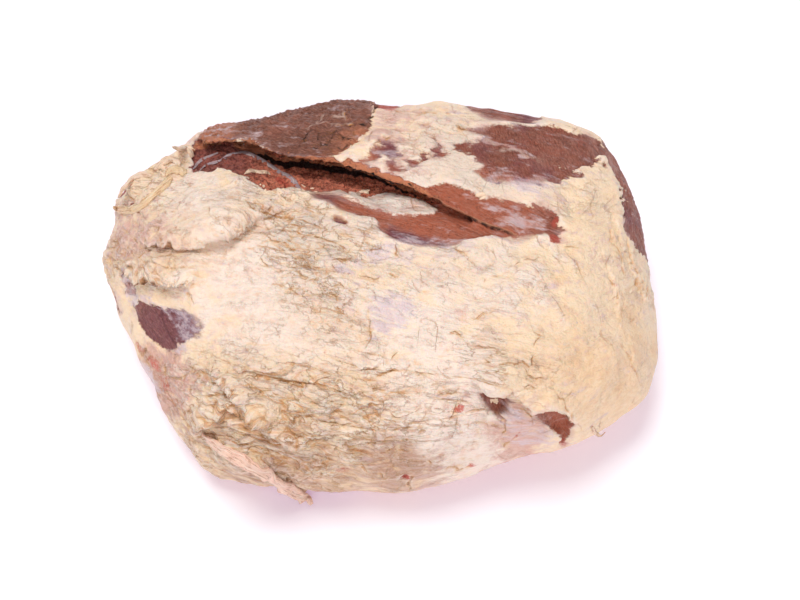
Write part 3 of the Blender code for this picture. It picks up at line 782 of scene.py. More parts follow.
# The fat cover
# Firm cream fat that ends in a thin edge over the lean, torn into lobes, folds and thin layers. It
# wrinkles along the grain, most at the lower left where it was folded under the cut.
FAT_EDGE = 1.5
POCKET_DEPTH = 3.0
ROUGH_PLACES = [
    # (across, up, reach, how wrinkled)
    (-112, -80, 26, 0.9),
    (-75, -85, 26, 0.9),
    (-30, -80, 26, 0.8),
    (-150, -62, 18, 0.7),
    (-120, -115, 26, 0.5),
    (-70, -118, 24, 0.5),
    (5, -105, 24, 0.25),
    (-90, 66, 16, 0.5),
    (-172, 28, 16, 0.5),
    (-68, 24, 20, 0.35),
    (-50, -4, 14, 0.3),
    (75, -44, 22, 0.35),
    (165, 10, 14, 0.25),
    (130, 80, 18, 0.3),
    (15, 122, 24, 0.4),
    (-190, 84, 18, 0.6),
    (-204, 30, 12, 0.7),
    (-125, 78, 30, 0.30),
    (-62, 52, 26, 0.40),
    (-30, 20, 34, 0.35),
    (60, 25, 26, 0.25),
    (60, -80, 26, 0.35),
]
wrinkled = np.clip(0.05 + patches(ROUGH_PLACES), 0, 1.2)

# Folds hang over a little to the near side. Creases are the lines between and across them.
FOLDS = [
    # (line, height, reach above it, how far its edge hangs over)
    ([(-187, 36), (-180, 39.5), (-174, 42), (-165, 42), (-159, 40), (-150, 40.5), (-143, 43), (-135, 46),
      (-128, 47.5), (-122, 50), (-115, 52), (-110, 56), (-104, 58)], 4.6, 13, 3.4),
    ([(-196, 20), (-188, 15.5), (-179, 17.5), (-170, 14.5), (-160, 13.5), (-154, 12.5), (-152, 8)],
     5.6, 10, 4.2),
    ([(-143, -97), (-143, -92), (-139, -88), (-133, -86), (-127, -83), (-122, -79), (-117, -80),
      (-110, -81), (-101, -84)], 4.6, 9, 2.8),
    ([(-138, -54), (-131, -60), (-125, -66), (-118, -70), (-110, -75), (-104, -82), (-98, -89),
      (-90, -95), (-80, -102), (-72, -108)], 3.6, 11, 1.6),
    ([(-125, -53), (-110, -52), (-100, -54), (-90, -56), (-80, -58), (-70, -59), (-60, -61)], 2.4, 8, 1.4),
    ([(55, -66), (65, -66), (75, -66), (82, -66), (90, -72), (96, -80), (101, -81), (106, -78),
      (114, -79), (121, -83), (127, -90)], 2.6, 8, 2.0),
    ([(-24, -8), (-21, -16), (-21, -26), (-25, -33), (-31, -34)], 1.8, 6, 1.0),
    (STRIP_SEAM, 2.4, 7, 0.0),
    ([(-54, 25), (-44, 28), (-36, 30), (-30, 34), (-22, 37)], 1.8, 6, 1.2),
    ([(-100, 48), (-96, 44), (-93, 41), (-86, 41), (-80, 44)], 2.0, 5, 1.2),
    ([(-31, -52), (-25, -50.5), (-20, -50.5), (-15, -47), (-12, -43)], 1.6, 5, 0.8),
    ([(-30, -59), (-22, -58.5), (-17, -56), (-11, -52), (-4, -50), (8, -49)], 1.8, 5, 0.8),
    ([(-60, 26), (-50, 18), (-44, 12), (-40, 6)], 1.6, 6, 1.0),
    ([(-104, 60), (-94, 61), (-84, 64), (-76, 64), (-66, 68)], 1.8, 6, 1.2),
    ([(-94, 33), (-84, 31), (-74, 29), (-62, 27)], 1.4, 5, 1.0),
    ([(-77, 20), (-69, 16), (-60, 12), (-52, 6)], 1.4, 5, 1.0),
    ([(60, 12), (68, 16), (80, 22), (92, 27), (106, 31)], 1.4, 6, 1.0),
    ([(155, 64), (158, 48), (163, 34), (168, 20), (174, 6), (182, -4)], 1.8, 7, 0.4),
    ([(144, 40), (149, 24), (154, 8), (158, -8), (160, -24)], 1.2, 6, 0.3),
    ([(-42, -101), (-34, -99), (-26, -98), (-22, -94)], 1.2, 5, 0.6),
]
# Tones of crease lines: the dark and black lines are painted shadow under hanging fold edges, in cracks and
# in gaps.
PALE_LINE = -1.0
OCHRE_LINE = 0.0
BROWN_LINE = 0.5
DARK_LINE = 1.0
BLACK_LINE = 2.0
CREASES = [
    # (line, half width, depth, tone)
    ([(-188, 36), (-180, 39), (-174, 41.5), (-165, 41.5), (-159, 39), (-150, 40), (-143, 42.5), (-135, 45.5),
      (-128, 47), (-122, 49.5), (-115, 51.5), (-109, 56), (-104, 58)], 1.8, 1.5, DARK_LINE),
    ([(-104, 58), (-96, 58), (-88, 60), (-80, 61), (-72, 63.5), (-67, 67)], 0.5, 1.0, OCHRE_LINE),
    ([(-195, 18.5), (-188, 15), (-179, 17), (-170, 14), (-160, 13), (-153, 11)], 1.9, 1.5, DARK_LINE),
    ([(-153, 7), (-151, 1), (-149, -4)], 0.5, 1.0, BROWN_LINE),
    ([(-189, 29), (-185, 33), (-180, 34)], 0.5, 0.8, BROWN_LINE),
    ([(-178, 28), (-173, 30), (-169, 31), (-163, 30.5)], 0.5, 0.8, BROWN_LINE),
    ([(-200, 38), (-196, 37), (-192, 33), (-188, 30)], 0.5, 0.8, BROWN_LINE),
    ([(-177, 44), (-176, 48), (-174, 54)], 0.4, 0.8, BROWN_LINE),
    ([(-138, 68), (-137, 62), (-134, 55)], 0.4, 0.8, OCHRE_LINE),
    ([(-122, 85), (-118, 86), (-114, 85)], 0.5, 0.6, OCHRE_LINE),
    ([(-89, 71.5), (-84, 73), (-79, 74), (-76, 75)], 0.8, 1.2, BROWN_LINE),
    ([(-113, 70), (-108, 67), (-103, 65)], 0.5, 0.8, BROWN_LINE),
    ([(-101, 66), (-98, 64), (-95, 66), (-92, 64)], 0.6, 0.8, BROWN_LINE),
    ([(-93, 62), (-89, 62), (-85, 64)], 0.5, 0.8, BROWN_LINE),
    ([(-70, 70), (-67, 72), (-64, 74)], 0.4, 0.6, OCHRE_LINE),
    ([(-125, 46), (-116, 44.5), (-110, 45), (-106, 46)], 0.6, 0.8, OCHRE_LINE),
    ([(-98, 48), (-96, 44), (-93, 40.5), (-88, 41), (-83, 41)], 0.5, 1.0, OCHRE_LINE),
    ([(-84, 56), (-78, 54), (-70, 51.5), (-63, 50.5)], 0.4, 0.6, BROWN_LINE),
    ([(-101, 31), (-98, 27), (-95, 25)], 0.5, 0.8, OCHRE_LINE),
    ([(-94, 33), (-88, 32), (-80, 30), (-72, 29), (-64, 27), (-56, 26)], 0.4, 0.6, OCHRE_LINE),
    ([(-80, 29.5), (-76, 27), (-73, 25)], 0.6, 1.0, OCHRE_LINE),
    ([(-77, 20), (-73, 19), (-69, 16), (-65, 15)], 0.6, 1.0, OCHRE_LINE),
    ([(-90, 20), (-82, 19), (-75, 19)], 0.3, 0.5, OCHRE_LINE),
    ([(-60, 20), (-56, 15), (-52, 11), (-48, 10), (-42, 13)], 0.5, 1.0, OCHRE_LINE),
    ([(-83, 14), (-80, 9), (-75, 6), (-71, 3)], 0.4, 0.8, OCHRE_LINE),
    ([(-94, 12), (-88, 11), (-84, 12)], 0.5, 0.6, OCHRE_LINE),
    ([(-60, 6), (-57, 1), (-54, 0)], 0.6, 1.0, BROWN_LINE),
    ([(-53, 8), (-50, 4), (-47, 2), (-44, -1)], 0.4, 0.6, OCHRE_LINE),
    ([(-52, 26), (-48, 22), (-44, 18)], 0.3, 0.6, OCHRE_LINE),
    ([(-54, 25), (-46, 27), (-38, 28.5), (-33, 31)], 0.4, 0.8, BROWN_LINE),
    ([(-30, 19), (-24, 16.5), (-17, 15.5), (-12, 18)], 0.4, 0.8, OCHRE_LINE),
    ([(-8, 17), (-3, 16), (1, 17)], 0.5, 0.8, OCHRE_LINE),
    ([(-24, 37), (-18, 38), (-12, 40)], 0.4, 0.6, BROWN_LINE),
    ([(-3, 40), (-2, 36), (-4, 33), (-1, 30)], 0.5, 0.8, BROWN_LINE),
    ([(38, 38), (44, 35), (52, 34)], 0.4, 0.5, BROWN_LINE),
    ([(60, 13), (66, 16), (70, 17), (73, 19)], 0.5, 0.8, OCHRE_LINE),
    ([(76, 22), (86, 27), (96, 29), (104, 31)], 0.3, 0.6, OCHRE_LINE),
    ([(117, 38), (124, 38), (132, 37)], 0.4, 0.6, OCHRE_LINE),
    ([(137, 69), (139, 63), (140, 59)], 0.4, 0.6, OCHRE_LINE),
    ([(40, 125.5), (46, 125.5), (50, 127)], 0.6, 1.2, DARK_LINE),
    ([(8, 135), (20, 136), (32, 134), (42, 134)], 0.4, 0.8, OCHRE_LINE),
    ([(-23, 130), (-21, 135), (-17, 141), (-15, 146)], 0.9, 3.0, BLACK_LINE),
    ([(-20, 111), (-14, 116), (-6, 117), (-2, 113)], 0.5, 0.8, BROWN_LINE),
    ([(-155, -60), (-149, -57), (-145, -53), (-142, -52)], 0.8, 1.2, OCHRE_LINE),
    ([(-154, -51), (-150, -48.5), (-145, -49), (-140, -52), (-136, -54)], 0.5, 0.8, OCHRE_LINE),
    ([(-158, -83), (-153, -81), (-148, -79)], 0.6, 1.0, BROWN_LINE),
    ([(-136, -55), (-131, -60), (-125, -66), (-118, -70), (-110, -75), (-106, -79)], 0.6, 1.4, OCHRE_LINE),
    ([(-112, -79), (-105, -86), (-98, -91), (-92, -95), (-86, -98), (-80, -102), (-74, -106), (-66, -110)],
     0.7, 1.4, OCHRE_LINE),
    ([(-126, -54), (-118, -51), (-110, -52.5), (-100, -55), (-90, -57), (-80, -58.5), (-72, -59), (-62, -60)],
     0.7, 1.4, BROWN_LINE),
    ([(-145, -96), (-142, -90), (-138, -88), (-133, -86.5), (-127, -83.5), (-122, -80), (-116, -80.5),
      (-110, -81.5), (-101, -82.5), (-95, -86), (-88, -90)], 0.6, 1.4, OCHRE_LINE),
    ([(-149, -98), (-144, -99), (-141, -97), (-136, -99), (-132, -103)], 1.0, 1.6, BROWN_LINE),
    ([(-94, -123.5), (-84, -127), (-76, -130), (-68, -134)], 1.8, 2.2, DARK_LINE),
    ([(-124, -91), (-116, -91), (-108, -94), (-100, -98), (-93, -96), (-90, -97)], 0.5, 1.0, OCHRE_LINE),
    ([(-118, -104), (-110, -105), (-104, -104)], 0.4, 0.8, BROWN_LINE),
    ([(-100, -102), (-96, -108), (-90, -110), (-84, -112), (-77, -113)], 0.6, 1.0, BROWN_LINE),
    ([(-66, -117), (-60, -117), (-54, -119), (-50, -122)], 0.6, 1.0, BROWN_LINE),
    ([(-76, -118), (-66, -120), (-56, -124), (-46, -128), (-38, -130)], 0.5, 1.0, BROWN_LINE),
    ([(-83, -83), (-78, -87), (-74, -84), (-68, -84), (-62, -82)], 0.8, 1.2, BROWN_LINE),
    ([(-82, -93), (-74, -95), (-66, -97), (-58, -102)], 0.6, 1.0, BROWN_LINE),
    ([(-107, -69), (-98, -66), (-90, -69), (-82, -70)], 0.4, 0.8, OCHRE_LINE),
    ([(-128, -58), (-118, -59), (-108, -57), (-100, -58)], 0.4, 0.6, OCHRE_LINE),
    ([(-32, -51.5), (-25, -50), (-20, -50.5), (-16, -48), (-13, -45)], 0.9, 1.4, BROWN_LINE),
    ([(-31, -58), (-22, -58), (-17, -55.5), (-12, -52.5), (-4, -50.5), (6, -49.5)], 0.9, 1.4, BROWN_LINE),
    ([(10, -51), (16, -53.5), (20, -54), (24, -55.5)], 0.5, 0.8, OCHRE_LINE),
    ([(-70, -57), (-62, -60), (-54, -57), (-44, -57)], 0.5, 0.8, OCHRE_LINE),
    ([(-60, -68), (-52, -67), (-46, -69), (-38, -69)], 0.6, 0.8, OCHRE_LINE),
    ([(-60, -80), (-52, -81), (-46, -81), (-41, -79)], 0.6, 1.0, OCHRE_LINE),
    ([(-53, -94), (-46, -94), (-42, -91), (-36, -89.5), (-29, -89)], 0.6, 1.0, OCHRE_LINE),
    ([(-41, -101), (-34, -99), (-28, -98), (-24, -97), (-21, -94)], 0.7, 1.2, BROWN_LINE),
    ([(-34, -81), (-27, -79), (-22, -76), (-16, -76)], 0.5, 0.8, OCHRE_LINE),
    ([(-15, -103), (-11, -99), (-7, -97.5), (-1, -96)], 0.6, 1.0, BROWN_LINE),
    ([(-25, -87.5), (-22, -88), (-18, -86)], 0.6, 1.0, BROWN_LINE),
    ([(-8, -80), (-5, -84), (-1, -86), (5, -85)], 0.4, 0.8, OCHRE_LINE),
    ([(-26, -106), (-22, -104), (-18, -105)], 0.4, 0.8, BROWN_LINE),
    ([(0, -104), (6, -100), (10, -97)], 0.4, 0.8, OCHRE_LINE),
    ([(12, -95), (15, -93.5), (18, -93.5)], 0.4, 0.6, OCHRE_LINE),
    ([(31, -69.5), (35, -67.5), (40, -66), (46, -65)], 0.5, 0.8, OCHRE_LINE),
    ([(34, -88), (38, -83), (42, -77), (43, -73)], 0.5, 0.8, OCHRE_LINE),
    ([(55, -66), (60, -65.5), (68, -66), (76, -66), (83, -65)], 0.6, 1.2, DARK_LINE),
    ([(90, -62), (94, -62), (98, -63)], 0.4, 0.8, OCHRE_LINE),
    ([(88, -76), (92, -81), (96, -84.5), (100, -82.5)], 0.8, 1.4, BROWN_LINE),
    ([(104, -61), (112, -66), (118, -72), (122, -79), (127, -87)], 0.4, 0.8, OCHRE_LINE),
    ([(57, -44), (61, -45), (65, -47)], 0.5, 0.8, BROWN_LINE),
    ([(55, -42), (64, -41), (70, -43)], 0.4, 0.8, OCHRE_LINE),
    ([(52, -33.5), (60, -34), (68, -36), (74, -41), (82, -43)], 0.4, 0.8, OCHRE_LINE),
    ([(70, -48), (76, -47), (84, -48), (92, -49)], 0.5, 0.8, BROWN_LINE),
    ([(86, -47), (92, -47), (97, -44.5), (99, -40)], 0.6, 1.0, BROWN_LINE),
    ([(88, -50), (93, -54), (98, -58), (108, -56)], 0.5, 0.8, BROWN_LINE),
    ([(98, -20), (99.5, -26), (98, -34)], 0.4, 0.6, BROWN_LINE),
    ([(28, -26), (40, -25.5), (46, -26.5), (52, -26), (58, -25)], 0.5, 0.8, BROWN_LINE),
    ([(52, -13), (60, -9), (66, -10), (70, -12)], 0.5, 0.6, OCHRE_LINE),
    ([(-47, -14.5), (-43, -15.5), (-39, -19), (-33, -18.5)], 0.8, 1.2, BROWN_LINE),
    ([(-47, -4), (-42, -8), (-40, -12)], 0.6, 0.8, BROWN_LINE),
    ([(-22, -12), (-21, -20), (-22, -28), (-26, -34), (-29, -34)], 0.5, 0.8, OCHRE_LINE),
    ([(-8, -46), (-4, -42), (0, -38)], 0.4, 0.6, OCHRE_LINE),
    ([(151, 56), (153, 45), (158, 35), (160, 22), (163, 10)], 0.5, 1.0, OCHRE_LINE),
    ([(163, 50), (166, 34), (170, 18), (174, 6), (178, -1)], 0.6, 1.2, OCHRE_LINE),
    ([(172, 18), (176, 8), (181, 0), (186, -2)], 0.5, 1.0, OCHRE_LINE),
    ([(150, 20), (153, 10), (157, 0), (158, -10)], 0.4, 0.8, OCHRE_LINE),
    ([(158, -28), (164, -38), (169, -48), (173, -60)], 0.4, 0.8, OCHRE_LINE),
    ([(160, 8), (162, -4), (161, -16)], 0.4, 0.6, OCHRE_LINE),
    ([(14, -109.5), (18, -112.5), (22, -116), (20, -119)], 0.6, 1.2, BROWN_LINE),
    ([(-13, -109), (-4, -108), (4, -110)], 0.5, 0.8, BROWN_LINE),
    ([(-40, -112), (-34, -116), (-28, -120), (-22, -124)], 0.6, 1.0, BROWN_LINE),
    ([(-21, -125), (-12, -127), (-4, -128)], 0.5, 0.8, BROWN_LINE),
    ([(12, -125), (8, -128), (7, -133), (7, -139)], 1.0, 1.6, DARK_LINE),
    ([(31, -121), (38, -122), (45, -121), (54, -119)], 0.6, 1.0, BROWN_LINE),
    ([(72, -110), (77, -104), (82, -100), (86, -95)], 0.6, 0.8, BROWN_LINE),
    ([(74, -84), (75, -90), (73, -97)], 0.6, 1.0, BROWN_LINE),
    ([(101, -83.5), (104, -81.5), (112, -80.6), (119.5, -83), (125.5, -88)], 1.3, 1.0, DARK_LINE),
    ([(58, -69.8), (65, -70.2), (76, -71.8), (80, -74)], 1.1, 1.0, DARK_LINE),
    ([(-188, -35), (-184, -37), (-180, -41)], 1.0, 1.6, DARK_LINE),
    ([(-173, -44), (-169, -50), (-166, -55), (-164, -60)], 0.9, 1.4, DARK_LINE),
    ([(-191, -30), (-188, -36), (-184, -43), (-180, -50)], 0.6, 1.0, BROWN_LINE),
    ([(-209, 27), (-205, 23), (-201, 21)], 0.5, 0.8, BROWN_LINE),
    ([(-208, 40), (-205, 43), (-202, 46)], 0.5, 0.8, BROWN_LINE),
    ([(-60, 121), (-64, 122), (-68, 119), (-70, 112)], 0.5, 2.0, BLACK_LINE),
    ([(-62, 122), (-56, 120), (-52, 122), (-46, 121), (-38, 118), (-30, 115)], 0.5, 2.0, BLACK_LINE),
    ([(-60, 121), (-58, 116), (-60, 111), (-66, 109)], 0.5, 2.0, BLACK_LINE),
    ([(-60, 112), (-55, 113), (-49, 112), (-40, 111), (-34, 113)], 0.5, 1.6, BLACK_LINE),
    ([(-52, 121), (-50, 116), (-51, 112)], 0.4, 1.6, BLACK_LINE),
    ([(-22, 127), (-28, 127.5), (-36, 127), (-43, 127)], 0.6, 2.0, BLACK_LINE),
    ([(-38, 146), (-37, 140), (-37, 136), (-40, 132)], 0.4, 1.6, BLACK_LINE),
    ([(82, 121), (83, 117), (83, 113)], 0.6, 1.2, DARK_LINE),
    ([(92, 111), (96, 107), (101, 104)], 0.5, 1.0, DARK_LINE),
    ([(38, 65.5), (46, 62), (54.5, 58), (65, 53.5), (74.5, 50.5), (86, 46)], 0.8, 1.0, BLACK_LINE),
    ([(58, 125), (61.7, 119), (69, 113.4), (78, 110), (89, 107), (98, 103.5), (105, 100)], 0.9, 0.0,
     PALE_LINE),
    ([(-72, 122.5), (-65, 125), (-58, 132.5), (-53.5, 137)], 0.7, 0.0, PALE_LINE),
    ([(-51, 132.5), (-41, 134.3), (-39, 129), (-31, 128)], 0.7, 0.0, PALE_LINE),
    ([(-41, 134), (-39, 138.5)], 0.6, 0.0, PALE_LINE),
    ([(-60, 127), (-52, 129), (-45, 127), (-39, 129)], 0.5, 0.0, PALE_LINE),
]


def nearest_crease(far=9.0):
    """Signed distance over half width, plain distance in millimetres, strength, tone and depth."""
    gap = np.full(len(across), far)
    signed = np.full(len(across), far)
    strength, tone, depth = np.zeros((3, len(across)))
    for line, half_width, deep, dark in CREASES:
        line = smooth_line(line)
        close = np.nonzero(close_to(line, far))[0]
        distance, along = beside(line, bent_across[close], bent_up[close])
        closer = abs(distance) < gap[close]
        chosen = close[closer]
        gap[chosen] = abs(distance[closer])
        signed[chosen] = distance[closer] / half_width
        strength[chosen] = np.clip(1.6 * np.sin(np.pi * along[closer]), 0, 1)
        tone[chosen] = dark
        depth[chosen] = deep
    return signed, gap, strength * front, tone, depth


FOLD_EDGE = 4.0
crease_side, crease_gap, crease_strength, crease_tone, crease_depth = nearest_crease()
fold_height = np.zeros(len(points))
fold_hang = np.zeros(len(points))
for line, high, reach, hang in FOLDS:
    line = smooth_line(line)
    close = np.nonzero(close_to(line, 3 * reach))[0]
    distance, along = beside(line, ragged_across[close], ragged_up[close])
    above = np.maximum(distance, 0)
    lifted = rise(distance, -0.8, 1.0) * np.clip(4 * np.sin(np.pi * along), 0, 1)
    fold_height[close] += high * lifted * np.exp(-((above / reach) ** 2))
    fold_hang[close] += hang * lifted * np.exp(-((above / FOLD_EDGE) ** 2))


def pillows(field, width):
    """Rounded swellings between sharp valleys where a random field crosses nothing."""
    return 1 - np.exp(-abs(field) / width)


long_wrinkle = crossing_waves(grain, (95, 15, 70), 41)
fine_wrinkle = crossing_waves(grain, (48, 8, 40), 42)
cross_wrinkle = crossing_waves(grain, (34, 40, 60), 43)
torn = crossing_waves(grain, (80, 24, 70), 44) * 1.1 + 0.12 * fine_wrinkle
layer = torn - np.floor(torn)
layer_step = rise(layer, 0.86, 1.0) - layer
uneven = 0.45 + 0.75 * rise(swell(26, 48), -1.0, 1.0)

rough = wrinkled * uneven
fat_height = 0.8 * swell(40, 45) + (0.30 + 0.2 * wrinkled) * swell(18, 46)
fat_height += rough * (2.4 * pillows(long_wrinkle, 0.5) + 0.7 * pillows(fine_wrinkle, 0.5))
fat_height += rough * (0.4 * pillows(cross_wrinkle, 0.25) + 0.25 * swell(7, 49))
fat_height += (0.25 + 1.3 * wrinkled) * layer_step
crease_strength = crease_strength * rise(swell(7, 39), -1.6, 0.4)
lip = np.where(crease_side > 0, rise(crease_gap, 0.3, 1.6) * np.exp(-crease_gap / 5.0), 0)
fat_height -= crease_strength * crease_depth * 0.75 * np.exp(-crease_gap / 1.1)
fat_height += crease_strength * crease_depth * lip
fat_height += fold_height
edge_roll = np.exp(-(((lean_depth + 3) / 2.2) ** 2))
fat_height += 0.25 * edge_roll
thin_place = rise(swell(24, 54), -0.5, 0.7) * (1 - np.clip(patches(CLEAN_PLACES), 0, 1))
fat_height -= 0.9 * FAT_EDGE * rise(lean_depth, -3.5, 0.0) * thin_place

fibres = crossing_waves(grain, (40, 2.6, 4), 51)
grains = swell(3.2, 52)
cracked = rise(within(CAP_CRACKED), -2, 3) * front
crack_field = crossing_waves(grain, (15, 12, 12), 53)
lean_height = 0.2 * fibres + 0.3 * swell(15, 46) - FAT_EDGE + fold_height
lean_height += floor * (0.7 * grains + 0.5 * swell(7, 47))
lean_height += crust * (FAT_EDGE + 0.45 * grains + 0.4 * swell(8, 47))
lean_height += crust * cracked * (1.8 * pillows(crack_field, 0.25) - 0.8)
lean_height -= crease_strength * crease_depth * np.exp(-crease_gap / 1.0)
in_pocket = rise(np.maximum(within(POCKET), within(SECOND_POCKET)), -0.5, 3.5) * front
lean_height -= POCKET_DEPTH * in_pocket
is_lean = rise(lean_depth, -0.8 - 2.4 * soft, 0.8 + 2.4 * soft)
height = fat_height * (1 - is_lean) + lean_height * is_lean
SUNK_ROUNDS = 8
FOOT_RISE = 6.0
FOOT_FLAT = 0.3
# How far each point lies below its neighbours: the fat's colour uses it for painted shade in hollows and
# painted light on ridges.
sunk = (evened(height, SUNK_ROUNDS) - height) * front
height = height * rise(points[:, 2], 0.0, FOOT_RISE * MM)
moved = points + MM * (normals * height[:, None] - UP * (fold_hang * (1 - is_lean))[:, None])
moved[:, 2] = np.maximum(moved[:, 2], 0.0)
moved[points[:, 2] < FOOT_FLAT * MM, 2] = 0.0
skin.vertices.foreach_set("co", moved.astype(np.float32).ravel())

# Tints of the fat
# Cream on the right, pinkish white in the middle and on the upper left lobe, ochre in the folds at the
# lower left, tan near the table, lilac where silverskin covers lean, and red where it was torn.
WHITE_PLACES = [
    # (across, up, reach, how white)
    (-105, 5, 42, 1.0), (15, -25, 34, 1.0), (75, 16, 30, 0.6), (-140, 70, 34, 0.8), (10, 115, 34, 0.7),
    (-60, -10, 24, 0.5), (-5, 70, 14, 0.8), (22, 67, 8, 0.6), (-80, -30, 30, 0.4), (6, 68, 14, 1.0),
    (20, -95, 36, 0.8), (50, -112, 26, 0.8), (-25, 72, 12, 0.7), (60, -90, 20, 0.8), (-10, 60, 20, 0.5),
]
OCHRE_PLACES = [
    # (across, up, reach, how ochre)
    (-75, -75, 42, 0.6), (-115, -85, 34, 0.6), (-20, -75, 30, 0.4), (60, -42, 22, 0.4), (162, -4, 10, 0.5),
    (155, -64, 36, 1.2), (112, -30, 26, 0.35), (172, 10, 16, 0.5), (-40, -18, 16, 0.5), (-170, 30, 20, 0.4),
    (100, -60, 20, 0.2), (-165, 100, 14, 0.8), (90, -48, 14, 0.3), (-185, 74, 12, 0.4),
    (-140, 42, 22, 0.6), (-108, 54, 12, 0.6), (65, -15, 9, 0.5), (96, -45, 8, 0.6), (134, -50, 6, 0.4),
    (181, -34, 8, 0.8), (150, 70, 14, 0.4), (-60, 8, 14, 0.5), (42, 62, 8, 0.8),
    (-165, 44, 12, 0.7), (172, -40, 22, 0.4),
]
ROSY_PLACES = [
    # (across, up, reach, how rosy)
    (-196, 35, 14, 0.9), (-175, -60, 16, 0.9), (-200, 60, 12, 0.7), (-160, -60, 16, 0.5),
    (70, -100, 18, 0.25), (160, 5, 10, 0.2), (-42, -6, 10, 0.6), (20, 22, 10, 0.3), (0, 128, 26, 0.8),
    (150, 38, 12, 0.45), (45, -118, 24, 0.15), (-140, -115, 20, 0.2), (-95, 68, 12, 0.35),
    (90, -92, 13, 0.8), (-180, -48, 12, 0.9), (-168, -66, 12, 0.8), (42, -92, 20, 0.15), (45, -9, 5, 0.7),
    (88, -93, 13, 1.2), (5, 69, 12, 0.3), (-20, 72, 8, 0.3), (-165, 62, 14, 0.35), (-176, 46, 10, 0.4),
    (-150, 28, 12, 0.3),
]
TAN_PLACES = [
    # (across, up, reach, how tan)
    (-5, -112, 13, 1.2), (-110, -128, 20, 0.7), (-70, -128, 22, 0.6), (-75, -86, 9, 0.5),
    (-30, -130, 26, 0.5), (10, -130, 12, 0.5), (-150, -100, 12, 0.6), (96, -46, 7, 0.4), (-184, -46, 9, 0.8),
    (-176, -60, 8, 0.8), (-166, -76, 8, 0.5), (25, -122, 9, 0.6),
]
GREY_PLACES = [
    # (across, up, reach, how grey)
    (-62, 52, 24, 0.8), (-140, 34, 16, 0.3), (40, 30, 36, 0.6), (-100, -52, 14, 0.6), (30, 108, 22, 0.5),
    (60, 96, 22, 0.5), (100, 78, 18, 0.4), (90, 131, 18, 0.8),
]
FILMS = [
    # (outline, strength, softness of its border)
    ([(-53, 25), (-46, 27), (-38, 29), (-30, 33), (-20, 38), (-12, 42), (-6, 44), (-2, 40), (-4, 34),
      (-12, 28), (-20, 24), (-30, 20), (-40, 19), (-48, 21)], 0.7, 4),
    ([(-6, 42), (4, 42), (14, 40), (24, 39), (36, 36), (50, 33), (44, 37), (60, 40), (84, 44), (90, 42),
      (70, 46), (40, 45), (20, 46), (4, 50), (-10, 50)], 0.6, 3),
    ([(-2, 34), (6, 34), (16, 28), (26, 23), (14, 21), (4, 20), (0, 26)], 0.45, 3),
    ([(-20, 0), (-4, 4), (10, -2), (12, -12), (4, -20), (-12, -26), (-20, -24), (-22, -12)], 0.85, 6),
    ([(-197, 3), (-188, 4), (-172, -3), (-160, -8), (-150, -12), (-145, -22), (-150, -25), (-157, -37),
      (-163, -38), (-160, -30), (-168, -14), (-176, -6), (-189, -2), (-196, -4)], 0.8, 2),
    ([(-203, 27), (-198, 21), (-193, 13), (-192, 6), (-188, 2), (-190, -3), (-195, -6), (-198, 0),
      (-200, 10), (-202, 18)], 0.9, 2),
    ([(60, 92), (70, 94), (84, 93), (98, 90), (118, 88), (128, 86), (118, 80), (96, 77), (76, 82),
      (64, 86)], 0.6, 4),
    ([(56, 122), (62, 117), (70, 113), (82, 108), (92, 106.5), (100, 103), (92, 109), (80, 112), (70, 117),
      (62, 122)], 0.9, 1.2),
    ([(-141, 119), (-137, 127), (-127, 129), (-119, 127), (-121, 121), (-130, 118), (-137, 116)], 0.5, 3),
    ([(-152, 96), (-147, 106), (-136, 111), (-124, 108), (-118, 103), (-126, 99), (-138, 96), (-146, 93)],
     0.7, 3),
    ([(-34, 110), (-44, 105), (-52, 103), (-40, 101), (-26, 97), (-22, 104), (-28, 110)], 0.35, 3),
    ([(60, -77), (70, -82), (80, -72), (88, -78), (96, -86), (104, -90), (112, -96), (112, -104),
      (96, -107), (80, -104), (74, -92), (66, -84)], 0.5, 5),
    ([(-22, 107), (-18, 114), (-4, 116), (-1, 105), (-9, 102), (-20, 101), (-27, 101)], 0.45, 3),
    ([(66, 62), (76, 64), (92, 62), (106, 60), (106, 52), (98, 50), (86, 49), (76, 54)], 0.9, 7),
    ([(46, 79), (54, 77), (64, 71), (74, 66), (64, 66), (54, 72), (44, 77)], 0.7, 2),
    ([(60, 127), (80, 127), (104, 127), (122, 128), (134, 123), (122, 130), (104, 131), (80, 129),
      (62, 130)], 0.5, 2),
    ([(-145, 113.4), (-140, 121.6), (-127, 125), (-116, 125), (-105, 123.4), (-94, 118), (-87, 109),
      (-91, 105), (-102, 110), (-116, 115), (-127, 115), (-138, 111.6), (-147, 108)], 0.3, 5),
    ([(-188, -42), (-182, -46), (-176, -58), (-172, -66), (-178, -66), (-186, -52)], 1.0, 2),
]
RED_SPOTS = [
    # (across, up, half width, half length, turn, strength)
    (-8, 141, 9, 3, 0, 0.9), (113, 57, 3, 5, -10, 0.8), (113, 45, 6, 4, -30, 0.9), (-85, 87, 7, 3, -20, 1.0),
    (-96, -123, 6, 2, -20, 0.8), (-42, -124, 7, 4, 0, 0.6), (43, -78.5, 5, 3.5, 20, 1.0),
    (51, -119.5, 4, 2, 0, 0.9), (5, -128, 4, 2.5, 0, 1.0), (-204, 77, 7, 4, 40, 0.8), (86, 88, 12, 4, 0, 0.5),
    (119, -105, 4, 3, 0, 0.7), (-178, -46, 9, 3, -60, 0.7), (-170, -60, 10, 4, -60, 0.6),
    (-188, -34, 6, 2, -60, 0.7), (84, -98, 6, 1.5, 50, 0.7), (153, 13, 3, 6, 20, 0.35),
    (164, -6, 4, 4, 0, 0.3), (-14, -39, 4, 2, 20, 0.35), (-146, 22, 3, 6, -30, 0.2), (-42, -8, 6, 5, 0, 0.25),
    (-137, 16, 4, 2, 20, 0.25), (-54, -38.5, 1.6, 1.6, 0, 0.7), (26, 22, 9, 2, -10, 0.2),
    (-163, 2, 6, 2, -20, 0.3), (-90, -68, 5, 2, 0, 0.4), (-85, -71, 2, 3, 0, 0.4),
    (7, -73.5, 3, 2.5, 20, 0.5),
]
